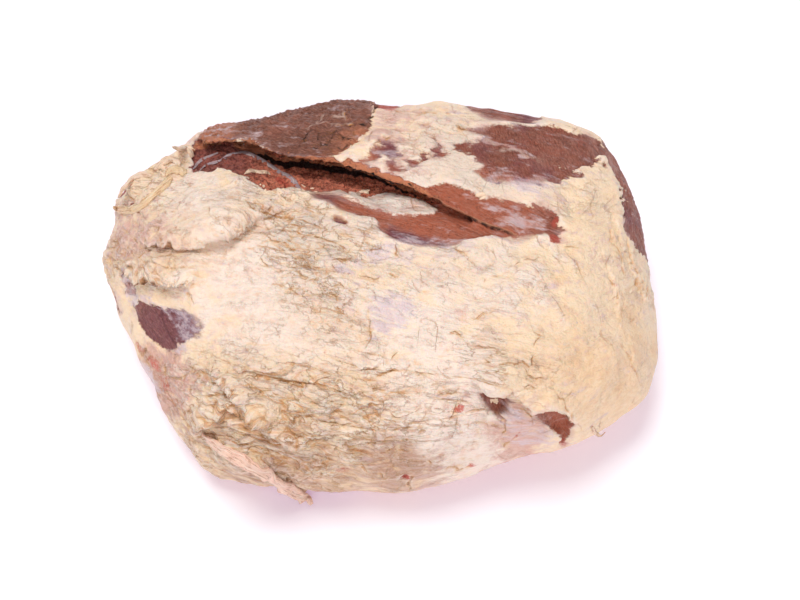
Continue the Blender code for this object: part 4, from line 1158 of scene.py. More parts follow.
# One window on the left has less film over it.
BARE_WINDOW = (-181, -17, 11, 0.5)
BACK_FILM = 0.8
film_strength = np.zeros(len(points))
for outline, strength, softness in FILMS:
    film_strength = np.maximum(film_strength, strength * rise(within(outline), -softness, softness))
back_film = rise(crossing_waves(points / MM, (150, 60, 26), 63), 0.1, 1.8)
film_strength = (film_strength - patches([BARE_WINDOW])) * front + (1 - front) * back_film * BACK_FILM
redness = np.zeros(len(points))
for x, w, wide, long, turn, strength in RED_SPOTS:
    redness = np.maximum(redness, strength * spot(x, w, wide, long, turn))
redness *= rise(facing, 0.02, 0.14)

# Painted shadow: under the rim the cleft floor is painted black where the rim shades it, widest in the middle
# of the rim.
SHADOW_LEAST = 1.2
SHADOW_MORE = 3.2
shadow_width = SHADOW_MORE * rise(rim_along, 0.15, 0.35) * (1 - rise(rim_along, 0.55, 1.0)) + SHADOW_LEAST
rim_shadow = (1 - rise(-rim_distance, 0.6 * shadow_width, 1.7 * shadow_width)) * rise(-rim_distance, 0.6, 1.6)
rim_shadow *= floor * rise(rim_along, 0.12, 0.36)

WARM_LEAN_PLACES = [
    # (across, up, reach, how orange the lean is)
    (-10, 60, 30, 1.2), (45, 55, 30, 1.2), (30, 78, 16, 1.0), (90, 66, 20, 0.4), (-35, 112, 14, 0.6),
    (-149, 116, 7, 1.3), (-142, 128, 8, 1.2), (-27, 115, 5, 0.5), (-125, 136, 10, 0.5),
    (-128, 121, 12, 0.5), (117, -92, 12, 1.2), (70, -76, 8, 0.5),
]
warm_lean = np.clip(patches(WARM_LEAN_PLACES), 0, 1) * front


def paint_points(mesh, name, first, second, third):
    """Three numbers at every point, for the material to read."""
    layer = mesh.attributes.new(name, "FLOAT_VECTOR", "POINT")
    values = np.stack([first, second, third], -1).astype(np.float32)
    layer.data.foreach_set("vector", values.ravel())


def thinned(mesh, giving, left):
    """The mesh with this many triangles left: only the points that are giving merge."""
    made = bpy.data.objects.new("thinned", mesh)
    bpy.context.scene.collection.objects.link(made)
    made.vertex_groups.new(name="giving").add(np.nonzero(giving)[0].tolist(), 1.0, "REPLACE")
    thin = made.modifiers.new("thin", "DECIMATE")
    thin.vertex_group = "giving"
    thin.ratio = left / sum(len(face.vertices) - 2 for face in mesh.polygons)
    return worked(made)


# Only the side that faces the camera keeps the fine skin whole. Each point left takes the paint of the
# nearest point of the fine skin.
SEEN_FACING = -0.12
SEEN_ABOVE = 4.0
seen = (facing > SEEN_FACING) & (points[:, 2] > SEEN_ABOVE * MM)
skin_triangles = 2 * len(skin.polygons)
seen_triangles = skin_triangles * seen.mean()
cut_mesh = thinned(skin, ~seen, seen_triangles + BACK_TRIANGLES)
skin_points = KDTree(len(moved))
for number, place in enumerate(moved):
    skin_points.insert(place, number)
skin_points.balance()
nearest = np.array([skin_points.find(vert.co)[1] for vert in cut_mesh.vertices])


def paint_cut(name, first, second, third):
    """Three numbers at every point of the cut, from the same numbers on its skin."""
    paint_points(cut_mesh, name, first[nearest], second[nearest], third[nearest])


paint_cut("grain", grain_along, grain_across, out)
paint_cut("fibre", fibre_along, fibre_across, out)
paint_cut("lean", lean_depth, crust, purple)
tint_places = (WHITE_PLACES, OCHRE_PLACES, ROSY_PLACES)
paint_cut("tint", *[patches(places) * front for places in tint_places])
paint_cut("shade", patches(TAN_PLACES) * front, patches(GREY_PLACES) * front, rim_shadow)
paint_cut("film", film_strength, redness, floor)
paint_cut("rim", rim_band, cracked, wrinkled)
paint_cut("muscle", warm_lean, ragged, thin_place)
paint_cut("border", soft, sunk, seam_band)
paint_cut("crease", crease_side, crease_gap, crease_strength)
paint_cut("wrinkle", long_wrinkle, fine_wrinkle, crease_tone)
paint_cut("crack", crack_field, cross_wrinkle, layer)

# The finish of meat and fat
# Fat: cream, greasy and a little see-through. Lean: brown-red with pale fibres, moist. Silverskin: thin
# and glossy, lilac grey over lean. The torn borders between them are ragged at every scale.
CREAM = (0.960, 0.740, 0.530, 1)
YELLOWISH = (0.960, 0.690, 0.390, 1)
WARM_WHITE = (0.950, 0.800, 0.710, 1)
PINKISH = (0.900, 0.650, 0.575, 1)
OCHRE = (0.900, 0.640, 0.430, 1)
DEEP_OCHRE = (0.780, 0.460, 0.235, 1)
ROSY = (0.710, 0.395, 0.330, 1)
TAN = (0.500, 0.260, 0.165, 1)
GREYISH = (0.820, 0.680, 0.590, 1)
OCHRE_CREASE = (0.680, 0.330, 0.120, 1)
BROWN_CREASE = (0.560, 0.240, 0.085, 1)
DARK_CREASE = (0.260, 0.100, 0.040, 1)
LEAN_BROWN = (0.262, 0.078, 0.048, 1)
LEAN_LIGHT = (0.420, 0.160, 0.110, 1)
LEAN_DARK = (0.150, 0.042, 0.028, 1)
LEAN_RED = (0.325, 0.080, 0.050, 1)
LEAN_ORANGE = (0.480, 0.128, 0.066, 1)
LEAN_PURPLE = (0.180, 0.048, 0.070, 1)
CAP_CRUST = (0.215, 0.082, 0.054, 1)
CAP_DARK = (0.085, 0.032, 0.022, 1)
CAP_PALE = (0.330, 0.165, 0.120, 1)
RIM_ORANGE = (0.660, 0.245, 0.125, 1)
FIBRE_PALE = (0.480, 0.215, 0.160, 1)
THIN_FAT = (0.620, 0.390, 0.350, 1)
FILM_ON_FAT = (0.720, 0.570, 0.600, 1)
FILM_ON_LEAN = (0.720, 0.430, 0.390, 1)
FILM_ON_PURPLE = (0.440, 0.320, 0.380, 1)
BLOOD = (0.560, 0.075, 0.050, 1)
CLEFT_RED = (0.900, 0.290, 0.180, 1)
# Black for painted shadow: under the cleft's rim and in the blackest crease lines.
SHADOW_BLACK = (0.008, 0.003, 0.002, 1)
PALE_MARBLING = (0.600, 0.400, 0.330, 1)
EDGE_TAN = (0.560, 0.250, 0.150, 1)
DULL_FAT = (0.925, 0.908, 0.885, 1)
GRIT_SHADE = (0.80, 0.70, 0.62, 1)
FOLD_SHADE = (0.88, 0.68, 0.49, 1)
CRINKLE_SHADE = (0.96, 0.88, 0.80, 1)
CLEFT_SHADE = (0.22, 0.15, 0.14, 1)

meat, meat_shader, paint = new_material("raw_beef")
place = paint.node("ShaderNodeTexCoord", output=3)
grain_place = paint.attribute("grain")
lean_mm, crusty, purply = paint.attribute("lean").parts()
whitish, golden, rosy = paint.attribute("tint").parts()
tanned, greyish, gap_shadow = paint.attribute("shade").parts()
filmy, bloody, deep = paint.attribute("film").parts()
rimmed, crazed, wrinkly = paint.attribute("rim").parts()
crease_across, crease_away, crease_sure = paint.attribute("crease").parts()
long_field, fine_field, line_tone = paint.attribute("wrinkle").parts()
crack_value, cross_field, layer_share = paint.attribute("crack").parts()
warm, ragged_share, thin_share = paint.attribute("muscle").parts()
fibre_place = paint.attribute("fibre")
softly, hollow_shade_and_light, edge_band = paint.attribute("border").parts()

fleck = place.noise(420, 5, 0.65)
mottle = place.noise(130, 4, 0.6)
cloud = place.noise(60, 5, 0.6)
blotch = place.noise(28, 4, 0.6)
fray = place.noise(700, 4, 0.65) - 0.5
grit = place.noise(950, 3, 0.7)
speckle = mottle * 0.3 + fleck * 0.4 + grit * 0.3
wisp = grain_place.stretched(0.05, 0.26, 0.2).noise(1.0, 4, 0.52)
fine_wisp = grain_place.stretched(0.10, 0.62, 0.5).noise(1.0, 3, 0.6)
fine_speckle = fine_wisp * 0.6 + fleck * 0.4
streak = mottle + (wisp - mottle) * (0.25 + wrinkly * 0.75)

# The lean's torn border, in millimetres inside it.
torn_mm = lean_mm + fray * 1.6 + (fine_wisp - 0.5) * (1.5 + ragged_share * 5.5)
torn_mm = torn_mm + (fleck - 0.5) * ragged_share * 6.0
torn_mm = torn_mm + (wisp - 0.5) * (1.0 + softly * 9.0)
lean_mask = (torn_mm / (1 + softly * 6.0)).step(-0.5, 0.5)


def hairline(field, width):
    """One where a field crosses nothing, falling off within this width."""
    return 1 - (field * field).step(0.0, width * width)


# Creases drawn as broken lines, and the wrinkles, folds and thin sheets between them.
wander = (fleck - 0.5) * 0.9 + (mottle - 0.5) * 0.8
drawn = hairline(crease_across + wander * 1.8, 1.7) * (1 - crease_away.step(1.2, 2.6)) * crease_sure
drawn = drawn * (fine_wisp + fleck).step(0.72, 1.10)
crease_halo_shade = (1 - crease_away.step(0.3, 6.0)) * crease_sure
broken = wisp.step(0.42, 0.60) * (wrinkly * cloud * 2.8 - 0.15).step(0.0, 1.0)
wrinkles = hairline(long_field + wander * 0.45, 0.19) * broken
fine_lines = hairline(fine_field + wander * 0.6, 0.12) * cloud.step(0.44, 0.56) * wrinkly
wrinkles = wrinkles.higher(fine_lines * 0.5)
wrinkles = wrinkles.higher(hairline(cross_field + wander * 0.4, 0.07) * cloud.step(0.46, 0.62) * 0.5)
layer_edge = layer_share.step(0.84, 0.90) * (1 - layer_share.step(0.92, 0.99)) * wrinkly
long_folds = grain_place.stretched(0.026, 0.085, 0.050).noise(1.0, 2.5, 0.5, 0.7) * 2 - 1
round_folds = place.noise(42, 3, 0.5, 0.6) * 2 - 1
long_share = (wrinkly * 1.2).step(0.1, 0.6)
folded = (long_folds * long_folds) * long_share + (round_folds * round_folds) * (1 - long_share)
crinkle = place.noise(190, 2, 0.5, 0.6) * 2 - 1
pillow = folded.step(0.0, 0.022) * 0.80 + (crinkle * crinkle).step(0.0, 0.030) * 0.20
pillow_share = (wrinkly * 0.66 - 0.10 + (blotch - 0.5) * 2.4 + (cloud - 0.5) * 1.2).step(0.0, 1.0)
fold_shade_lines = (1 - folded.step(0.0, 0.0030)) * pillow_share
crinkle_shade_lines = (1 - (crinkle * crinkle).step(0.0, 0.008)) * pillow_share * 0.4
sheet = (grain_place.stretched(0.014, 0.040, 0.020).noise(1.0, 7, 0.62) * 9.0 + fleck * 0.3).fraction()
sheet_here = (cloud * 1.4 + wrinkly * 0.5 - 0.55).step(0.0, 0.5) * (0.35 + wrinkly * 0.65)
sheet_edge_shade = sheet.step(0.86, 0.94) * (1 - sheet.step(0.96, 1.0)) * sheet_here
sheet_relief = (sheet * 1.15).lower((1 - sheet) * 7.0) * sheet_here

# Fat, from its broad tints to its fine marks, and thin where it runs out over the lean.
fat = paint.node("ShaderNodeRGB")
fat.socket.default_value = CREAM
fat = fat.tinted(YELLOWISH, ((blotch - 0.5) * 3.5 + (mottle - 0.5) * 2.0 + golden * 0.4).step(0.0, 0.8) * 0.6)
fat = fat.tinted(WARM_WHITE, (whitish * 0.9 + (cloud - 0.5) * 3.0 + (mottle - 0.5) * 1.5).step(0.1, 0.9))
fat = fat.tinted(PINKISH, (rosy * 0.5 + (mottle - 0.5) * 3.0 + (streak - 0.5) * 2.0).step(0.15, 0.9) * 0.7)
fat = fat.tinted(GREYISH, (greyish * 0.9 + (blotch - 0.5) * 1.5).step(0.15, 0.9))
fat = fat.tinted(OCHRE, (golden * 0.7 + (streak - 0.5) * 1.8 + (blotch - 0.5) * 1.6).step(0.10, 1.0) * 0.75)
fat = fat.tinted(ROSY, (rosy + (cloud - 0.5) * 2.2 + (streak - 0.5) * 1.6).step(0.3, 1.1) * 0.9)
fat = fat.tinted(TAN, (tanned + (wisp - 0.5) * 2.0 + (cloud - 0.5)).step(0.2, 1.1) * 0.85)
# Painted shade, in ochre, a few millimetres either side of the creases.
fat = fat.tinted(OCHRE, (crease_halo_shade * 0.8 + (fine_wisp - 0.5) * 1.0).step(0.20, 1.0) * 0.8)
# Painted light on the ridges, and painted shade, in ochre, in the hollows.
fat = fat.tinted(WARM_WHITE, (0 - hollow_shade_and_light + (mottle - 0.5) * 0.6).step(0.15, 0.7) * 0.5)
fat = fat.tinted(OCHRE, (hollow_shade_and_light + (mottle - 0.5) * 0.8).step(0.05, 0.5) * 0.7)
fat = fat.tinted(OCHRE_CREASE, (hollow_shade_and_light + (fine_wisp - 0.5) * 0.8).step(0.4, 1.1) * 0.65)
# The wrinkles' valleys and the layers' steps are painted ochre: partly the fat's own colour, partly painted
# shade.
fat = fat.tinted(OCHRE_CREASE, wrinkles * 0.95)
fat = fat.tinted(OCHRE_CREASE, layer_edge * 0.25)
# Painted light on each thin sheet's rising face, and painted shade on its falling edge.
fat = fat.tinted(WARM_WHITE, sheet.step(0.45, 0.84) * (1 - sheet.step(0.84, 0.88)) * sheet_here * 0.5)
fat = fat.tinted(OCHRE_CREASE, sheet_edge_shade * 0.6)
fat = fat.tinted(OCHRE_CREASE, fine_speckle.step(0.57, 0.72) * (0.14 + wrinkly * 0.10))
fat = fat.times(GRIT_SHADE, (grit * 0.7 + fleck * 0.3).step(0.52, 0.64) * 0.15)
fat = fat.tinted(WARM_WHITE, fine_speckle.step(0.54, 0.40) * 0.22)
deep_ochre = golden * 0.5 + (streak - 0.5) * 2.4 + (blotch - 0.5) * 1.6
fat = fat.tinted(DEEP_OCHRE, deep_ochre.step(0.55, 1.20) * 0.45)
# Painted shade in the thin valleys between the pillows, and painted light on the pillows' tops.
fat = fat.times(FOLD_SHADE, fold_shade_lines)
fat = fat.times(CRINKLE_SHADE, crinkle_shade_lines)
fat = fat.tinted(WARM_WHITE, folded.step(0.02, 0.10) * pillow_share * 0.35)
fat = fat.times(DULL_FAT, (1 - wrinkly * 0.4) * (1 - whitish.step(1.7, 2.4)))
thin = (lean_mm + 4.5 + (wisp - 0.5) * 8.0).step(0.0, 4.5) * thin_share
fat = fat.tinted(THIN_FAT, thin * 0.65)

# A crease's colour follows its tone, from pale marbling over ochre and brown to black.
line_colour = paint.node("ShaderNodeRGB")
line_colour.socket.default_value = OCHRE_CREASE
# The brown and dark tones are partly the crease's own colour and partly painted shade in it; the black is
# painted shadow.
line_colour = line_colour.tinted(BROWN_CREASE, (line_tone + (cloud - 0.5) * 0.6).step(0.1, 0.55))
line_colour = line_colour.tinted(DARK_CREASE, (line_tone + (cloud - 0.5) * 0.4).step(0.55, 0.95))
line_colour = line_colour.tinted(SHADOW_BLACK, line_tone.step(1.2, 1.7))
line_colour = line_colour.tinted(PALE_MARBLING, (0 - line_tone).step(0.3, 0.8))

# Silverskin and blood on the fat, painted ochre shade beside the creases, and the creases drawn between.
film = (filmy + (fleck - 0.5) * 0.8 + (wisp - 0.5) * 2.4 + (fine_wisp - 0.5) * 1.2).step(0.15, 0.95)
fat = fat.tinted(FILM_ON_FAT, film * 0.8)
# Painted shade, in deeper ochre, close beside the darker creases.
crease_shade = (1 - crease_away.step(0.3, 4.0)) * crease_sure * line_tone.step(0.1, 1.0)
fat = fat.tinted(OCHRE_CREASE, (crease_shade + (fine_wisp - 0.5) * 1.0).step(0.2, 1.1) * 0.6)
fat = fat.tinted(line_colour, drawn * (0.55 + line_tone * 0.3))
fat = fat.tinted(BLOOD, (bloody + (fleck - 0.5) * 1.6 + (grit - 0.5) * 1.2).step(0.25, 1.15) * 0.85)

# Lean: fibres, the dried crust of the cap's face, the deep cleft and the silverskin over them.
threads = fibre_place.stretched(0.12, 0.80, 0.3).noise(1.0, 5, 0.62)
fine_threads = fibre_place.stretched(0.20, 2.2, 0.6).noise(1.0, 4, 0.65)
lean = paint.node("ShaderNodeRGB")
lean.socket.default_value = LEAN_BROWN
lean = lean.tinted(LEAN_RED, (cloud * 0.6 + threads * 0.4).step(0.42, 0.60))
lean = lean.tinted(LEAN_ORANGE, (warm + (threads - 0.5) * 0.8).step(0.2, 0.9))
lean = lean.tinted(LEAN_PURPLE, (purply + (cloud - 0.5) * 1.6).step(0.2, 0.9) * 0.9)
crust_colour = paint.node("ShaderNodeRGB")
crust_colour.socket.default_value = CAP_CRUST
crust_colour = crust_colour.tinted(CAP_PALE, speckle.step(0.49, 0.40) * 0.8)
crust_colour = crust_colour.tinted(CAP_DARK, speckle.step(0.50, 0.59) * 0.85)
crust_colour = crust_colour.tinted(RIM_ORANGE, (warm + (mottle - 0.5) * 1.5).step(0.3, 0.9) * 0.7)
lean = lean.tinted(crust_colour, (crusty + (fleck - 0.5) * 0.4).step(0.3, 0.7))
pale_meat = (1 - deep) * (1 - purply * 0.7)
lean = lean.tinted(LEAN_LIGHT, (mottle * 0.5 + blotch * 0.5).step(0.47, 0.60) * 0.5 * pale_meat)
lean = lean.tinted(LEAN_DARK, (threads * 0.5 + fine_threads * 0.5).step(0.50, 0.38) * (0.80 - warm * 0.45))
lean = lean.tinted(LEAN_DARK, (mottle * 0.2 + fleck * 0.4 + grit * 0.4).step(0.48, 0.40) * 0.7)
pale_threads = (threads * 0.3 + fine_threads * 0.7).step(0.51, 0.61) * 0.75
lean = lean.tinted(FIBRE_PALE, pale_threads * (1 - deep) * (1 - purply * 0.4))
lean = lean.tinted(FIBRE_PALE, (fleck * 0.5 + grit * 0.5).step(0.55, 0.66) * 0.6 * (1 - crusty * 0.5))
lean = lean.tinted(CLEFT_RED, deep * (1 - purply * 0.65) * 0.92)
lean = lean.times(CLEFT_SHADE, speckle.step(0.47, 0.56) * deep * 0.8)
# The crust's cracks are painted dark: partly their own colour, partly painted shade in them.
lean = lean.tinted(DARK_CREASE, hairline(crack_value + wander * 0.3, 0.14) * crazed * 0.7)
film_colour = paint.node("ShaderNodeRGB")
film_colour.socket.default_value = FILM_ON_LEAN
film_colour = film_colour.tinted(FILM_ON_PURPLE, purply.step(0.4, 0.9))
film_fibres = wisp * 0.5 + fine_wisp * 0.3 + fleck * 0.2
film_colour = film_colour.tinted(FILM_ON_FAT, film_fibres.step(0.48, 0.58) * 0.85)
veil = (0 - lean_mm + 3.5 + (wisp - 0.5) * 8.0).step(0.0, 3.5) * thin_share * (1 - rimmed)
lean = lean.tinted(film_colour, film.higher(veil * 0.32) * 0.80 * (1 - deep))
lean = lean.tinted(RIM_ORANGE, (rimmed + (fleck - 0.5) * 1.2).step(0.3, 0.9) * 0.85)
lean = lean.tinted(LEAN_DARK, speckle.step(0.51, 0.60) * rimmed * 0.7)
lean = lean.tinted(EDGE_TAN, (edge_band + (fleck - 0.5) * 0.5).step(0.3, 0.8) * 0.8)
lean = lean.tinted(line_colour, drawn * 0.9)
lean = lean.tinted(BLOOD, (bloody + (fleck - 0.5) * 0.8).step(0.2, 0.95) * 0.6)

# Fat and lean together, and what stands proud or lies sunk on them, in metres.
colour = fat.tinted(lean, lean_mask)
# Painted shadow: the strip of cleft floor under the rim is painted near black.
colour = colour.tinted(SHADOW_BLACK, (gap_shadow + (fleck - 0.5) * 0.3).step(0.12, 0.6) * 0.97)
roughness = 0.46 + (fleck - 0.5) * 0.25 - film * 0.12 - lean_mask * 0.04
fat_relief = (fine_wisp - 0.5) * 0.0010 + (fleck - 0.5) * 0.0006 - drawn * 0.0008
fat_relief = fat_relief + (wisp - 0.5) * 0.0020
crease_lip = crease_across.step(0.0, 1.2) * (1 - crease_away.step(0.6, 5.0)) * crease_sure
fat_relief = fat_relief * (0.70 + wrinkly * 0.5) + (mottle - 0.5) * 0.0022
fat_relief = fat_relief - wrinkles * 0.0018 - layer_edge * 0.0006
fat_relief = fat_relief + sheet_relief * 0.0018 + crinkle * 0.0004
fat_relief = fat_relief + pillow * pillow_share * 0.0020 + crease_lip * 0.0010
lean_relief = (fine_threads - 0.5) * 0.0010 + (threads - 0.5) * 0.0026
lean_relief = lean_relief + (fleck - 0.5) * (0.0012 + deep * 0.0036)
relief = fat_relief * (1 - lean_mask) + lean_relief * lean_mask - lean_mask * 0.0004
MEAT_BUMP = 0.9
MEAT_GLOSS = 0.32
UNDER_SKIN_DEPTH = 3.0
UNDER_SKIN_SHARE = 0.22
UNDER_SKIN_COLOURS = (1.0, 0.4, 0.25)
finish_shader(meat_shader, colour, roughness, relief, MEAT_BUMP)
meat_shader.inputs["Subsurface Weight"].default_value = UNDER_SKIN_SHARE
meat_shader.inputs["Subsurface Radius"].default_value = UNDER_SKIN_COLOURS
meat_shader.inputs["Subsurface Scale"].default_value = UNDER_SKIN_DEPTH * MM
meat_shader.inputs["Specular IOR Level"].default_value = MEAT_GLOSS

cut = finished_piece("beef_cut", cut_mesh, meat)
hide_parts("beef_inside_round")

# Loose strands and curls
# What hangs loose on the cut: the sinew at the near edge with its frayed fork, the yellow tendon round
# the torn end, the curls of fat beside it, and the cord and membranes inside the cleft.
# A strand is a tube with RING points round it and STRAND_SAMPLES rings for each row.
RING = 20
STRAND_SAMPLES = 8
STRAND_EVENING = 5
THINNEST = 0.3
LOWEST = 0.2
CREAM_TONE = (0, 0, 0)
GOLD_TONE = (1, 0, 0)
PINK_TONE = (0, 1, 0)
BLUE_TONE = (0, 0, 1)
cut_faces = [face.vertices[:] for face in cut_mesh.polygons]
body = BVHTree.FromPolygons([vert.co[:] for vert in cut_mesh.vertices], cut_faces)
STRANDS = [
    # (rows of across, up, half width and half thickness, lift off the cut, groove, tone)
    ([(-143, -97, 1.2, 0.8), (-137, -102.5, 3.2, 1.8), (-127, -109, 4.4, 2.2), (-116, -115.5, 5.0, 2.4),
      (-106, -121, 4.8, 2.4), (-97, -126, 4.6, 2.6), (-88, -131.5, 4.8, 2.8), (-80, -137, 5.2, 2.8),
      (-73, -141.5, 4.0, 2.4), (-67, -144, 2.8, 2.0), (-63.5, -149, 1.6, 1.2)], 1.0, 0.55, PINK_TONE),
    ([(-80, -137.5, 2.6, 1.8), (-75, -141, 2.4, 1.6), (-72.5, -145, 1.8, 1.4), (-72, -148, 0.8, 0.6)],
     0.8, 0.2, PINK_TONE),
    ([(-139, -99, 0.6, 0.5), (-131, -108, 1.8, 1.2), (-122, -115, 2.0, 1.4), (-112, -121, 2.0, 1.4),
      (-103, -126, 1.6, 1.2), (-96, -129.5, 0.8, 0.6)], 0.5, 0.2, PINK_TONE),
]
TENDONS = [
    ([(-210, 68, 1.0, 0.5), (-204, 65.5, 2.6, 1.1), (-198, 64.6, 2.8, 1.2), (-191, 66, 3.0, 1.3),
      (-184, 72, 3.2, 1.3), (-177, 78, 3.0, 1.3), (-170, 84.5, 2.8, 1.2), (-166, 89, 1.2, 0.6)],
     0.3, 0.15, GOLD_TONE),
    ([(-130, 102, 0.6, 0.3), (-122, 106, 1.6, 0.4), (-113, 107, 2.2, 0.4), (-104, 103.5, 1.6, 0.4),
      (-96, 98.5, 2.2, 0.5), (-88, 93, 1.8, 0.4), (-80, 89, 2.4, 0.5), (-76, 84.5, 2.0, 0.5),
      (-72, 80, 0.8, 0.3)], 0.3, 0.3, BLUE_TONE),
    ([(-150, 95, 0.4, 0.3), (-145, 101, 1.6, 0.3), (-139, 104, 1.2, 0.3), (-132, 107, 0.4, 0.3)],
     0.2, 0.3, BLUE_TONE),
    ([(-146, 93, 0.4, 0.3), (-141, 98, 0.9, 0.3), (-134, 100, 1.3, 0.3), (-126, 103, 0.4, 0.3)],
     0.1, 0.3, BLUE_TONE),
]
CURLS = [
    ([(-178, 94, 1.4, 0.8), (-173, 99, 3.6, 1.8), (-167, 102, 3.8, 2.0), (-162, 100, 2.6, 1.5),
      (-161, 96, 1.2, 0.8)], 0.5, 0.3, CREAM_TONE),
    ([(-170, 90, 1.2, 0.8), (-166, 94, 3.4, 1.8), (-160, 94, 3.8, 2.0), (-156, 91, 2.2, 1.2)],
     0.5, 0.3, GOLD_TONE),
    ([(-165, 113, 1.2, 0.8), (-160, 111, 3.2, 1.8), (-154, 109, 3.6, 2.0), (-151, 104, 2.0, 1.2)],
     0.7, 0.3, CREAM_TONE),
    ([(-206, 76, 1.2, 0.8), (-200, 83, 2.6, 1.2), (-193, 89, 2.8, 1.3), (-186, 91, 2.4, 1.1),
      (-180, 90, 1.0, 0.6)], 0.2, 0.2, CREAM_TONE),
    ([(-113, 91, 0.6, 0.4), (-108, 93.5, 2.0, 0.8), (-102, 92.5, 2.2, 0.9), (-97, 92.5, 1.6, 0.7),
      (-94, 91, 0.5, 0.4)], 0.4, 0.3, CREAM_TONE),
    ([(139, -92, 0.8, 0.4), (142, -96.5, 1.6, 0.7), (146, -99, 1.2, 0.6), (149, -96, 0.5, 0.3)],
     0.4, 0.2, CREAM_TONE),
]


def on_cut(x, w, out_before, stays_off=0.8):
    """The place and facing of the cut's surface that shows at a place on the chart, or beside it."""
    eye = Vector(camera.location)
    aim = Vector(chart_to_space(x, w, 0.0)) - eye
    hit, normal, _, _ = body.ray_cast(eye, aim.normalized())
    if hit is None:
        hit, normal, _, _ = body.find_nearest(Vector(chart_to_space(x, w, out_before)))
        aside = Vector(chart_to_space(x, w, out_before)) - hit
        return np.array(hit + aside * stays_off), np.array(normal)
    return np.array(hit), np.array(normal)


def strand_mesh(name, strands, seed):
    """Closed flattened lumpy tubes along rows of places on the cut, with a tone at every point."""
    verts, faces, tones, courses = [], [], [], []
    around = np.linspace(0, 2 * math.pi, RING, endpoint=False)
    for rows, lift, groove, tone in strands:
        rows = smooth_line(rows, STRAND_SAMPLES)
        spine, facings, depth = [], [], None
        for x, w, _, _ in rows:
            if depth is None:
                depth = space_to_chart(on_cut(x, w, 0.0)[0][None])[2][0]
            spot_here, facing_here = on_cut(x, w, depth)
            depth = space_to_chart(spot_here[None])[2][0]
            spine.append(spot_here)
            facings.append(facing_here)
        spine = np.array(spine)
        facings = np.array(facings)
        for _ in range(STRAND_EVENING):
            spine[1:-1] = 0.5 * spine[1:-1] + 0.25 * (spine[:-2] + spine[2:])
            facings[1:-1] = 0.5 * facings[1:-1] + 0.25 * (facings[:-2] + facings[2:])
        course = np.gradient(spine, axis=0)
        course /= np.linalg.norm(course, axis=1)[:, None]
        side = np.cross(course, facings)
        side /= np.linalg.norm(side, axis=1)[:, None]
        above = np.cross(side, course)
        dip = 1 - groove * np.exp(-((np.cos(around) / 0.3) ** 2)) * (np.sin(around) > 0)
        wide = np.maximum(rows[:, 2], THINNEST)[:, None, None] * np.cos(around)[None, :, None]
        thick = np.maximum(rows[:, 3], THINNEST)[:, None, None] * (np.sin(around) * dip)[None, :, None]
        arms = wide * side[:, None, :] + thick * above[:, None, :]
        places = (spine / MM)[:, None, :] + arms
        lumps = 0.09 * crossing_waves(places.reshape(-1, 3), (11, 11, 11), seed)
        lumps += 0.05 * crossing_waves(places.reshape(-1, 3), (4, 4, 4), seed + 1)
        arms *= 1 + lumps.reshape(len(rows), RING, 1)
        start = len(verts)
        verts.extend((spine[:, None, :] + MM * (arms + lift * above[:, None, :])).reshape(-1, 3))
        tones.extend([tone] * (len(rows) * RING))
        way = np.concatenate([[0], np.cumsum(np.linalg.norm(np.diff(spine, axis=0), axis=1))]) / MM
        for k, row in enumerate(rows):
            for angle in around:
                courses.append((way[k], row[2] * math.cos(angle), row[3] * math.sin(angle)))
        for k in range(len(rows) - 1):
            for m in range(RING):
                a, b = start + k * RING + m, start + k * RING + (m + 1) % RING
                faces.append((a, b, b + RING, a + RING))
        last = start + (len(rows) - 1) * RING
        faces.append(tuple(start + m for m in reversed(range(RING))))
        faces.append(tuple(last + m for m in range(RING)))
    verts = np.array(verts)
    verts[:, 2] = np.maximum(verts[:, 2], LOWEST * MM)
    made = bpy.data.meshes.new(name)
    made.from_pydata(verts.tolist(), [], faces)
    work = bmesh.new()
    work.from_mesh(made)
    bmesh.ops.recalc_face_normals(work, faces=work.faces)
    work.to_mesh(made)
    work.free()
    paint_points(made, "tone", *np.array(tones, float).T)
    paint_points(made, "course", *np.array(courses, float).T)
    return made


STRAND_CREAM = (0.880, 0.640, 0.470, 1)
STRAND_GOLD = (0.840, 0.600, 0.370, 1)
STRAND_PINK = (0.950, 0.640, 0.510, 1)
STRAND_BLUE = (0.460, 0.350, 0.380, 1)
STRAND_BROWN = (0.420, 0.170, 0.080, 1)
STRAND_BUMP = 0.8
STRAND_GLOSS = 0.35
STRAND_LIT_SHARE = 0.1
STRAND_LIT_DEPTH = 2.0


def strand_material(name):
    """Sinew, tendon, membrane or loose fat, by the tone of each point, creased lengthwise."""
    made, shader, paint = new_material(name)
    place = paint.node("ShaderNodeTexCoord", output=3)
    gold, pink, blue = paint.attribute("tone").parts()
    fleck = place.noise(420, 5, 0.65)
    cloud = place.noise(90, 5, 0.6)
    lengthwise = paint.attribute("course").stretched(0.10, 1.1, 1.1).noise(1.0, 5, 0.6, 0.4)
    colour = paint.node("ShaderNodeRGB")
    colour.socket.default_value = STRAND_CREAM
    colour = colour.tinted(STRAND_GOLD, (gold + (cloud - 0.5) * 1.0).step(0.2, 1.0))
    colour = colour.tinted(STRAND_PINK, (pink + (cloud - 0.5) * 0.6).step(0.2, 0.8))
    colour = colour.tinted(STRAND_BLUE, (blue + (cloud - 0.5) * 0.6).step(0.2, 0.8))
    creased = (lengthwise * 0.75 + fleck * 0.25).step(0.51, 0.60)
    colour = colour.tinted(STRAND_BROWN, creased * 0.6 * (1 - blue * 0.7))
    colour = colour.tinted(WARM_WHITE, lengthwise.step(0.46, 0.38) * 0.5)
    relief = (lengthwise - 0.5) * 0.0022 + (fleck - 0.5) * 0.0008
    finish_shader(shader, colour, 0.42 + (fleck - 0.5) * 0.3, relief, STRAND_BUMP)
    shader.inputs["Specular IOR Level"].default_value = STRAND_GLOSS
    shader.inputs["Subsurface Weight"].default_value = STRAND_LIT_SHARE
    shader.inputs["Subsurface Scale"].default_value = STRAND_LIT_DEPTH * MM
    return made


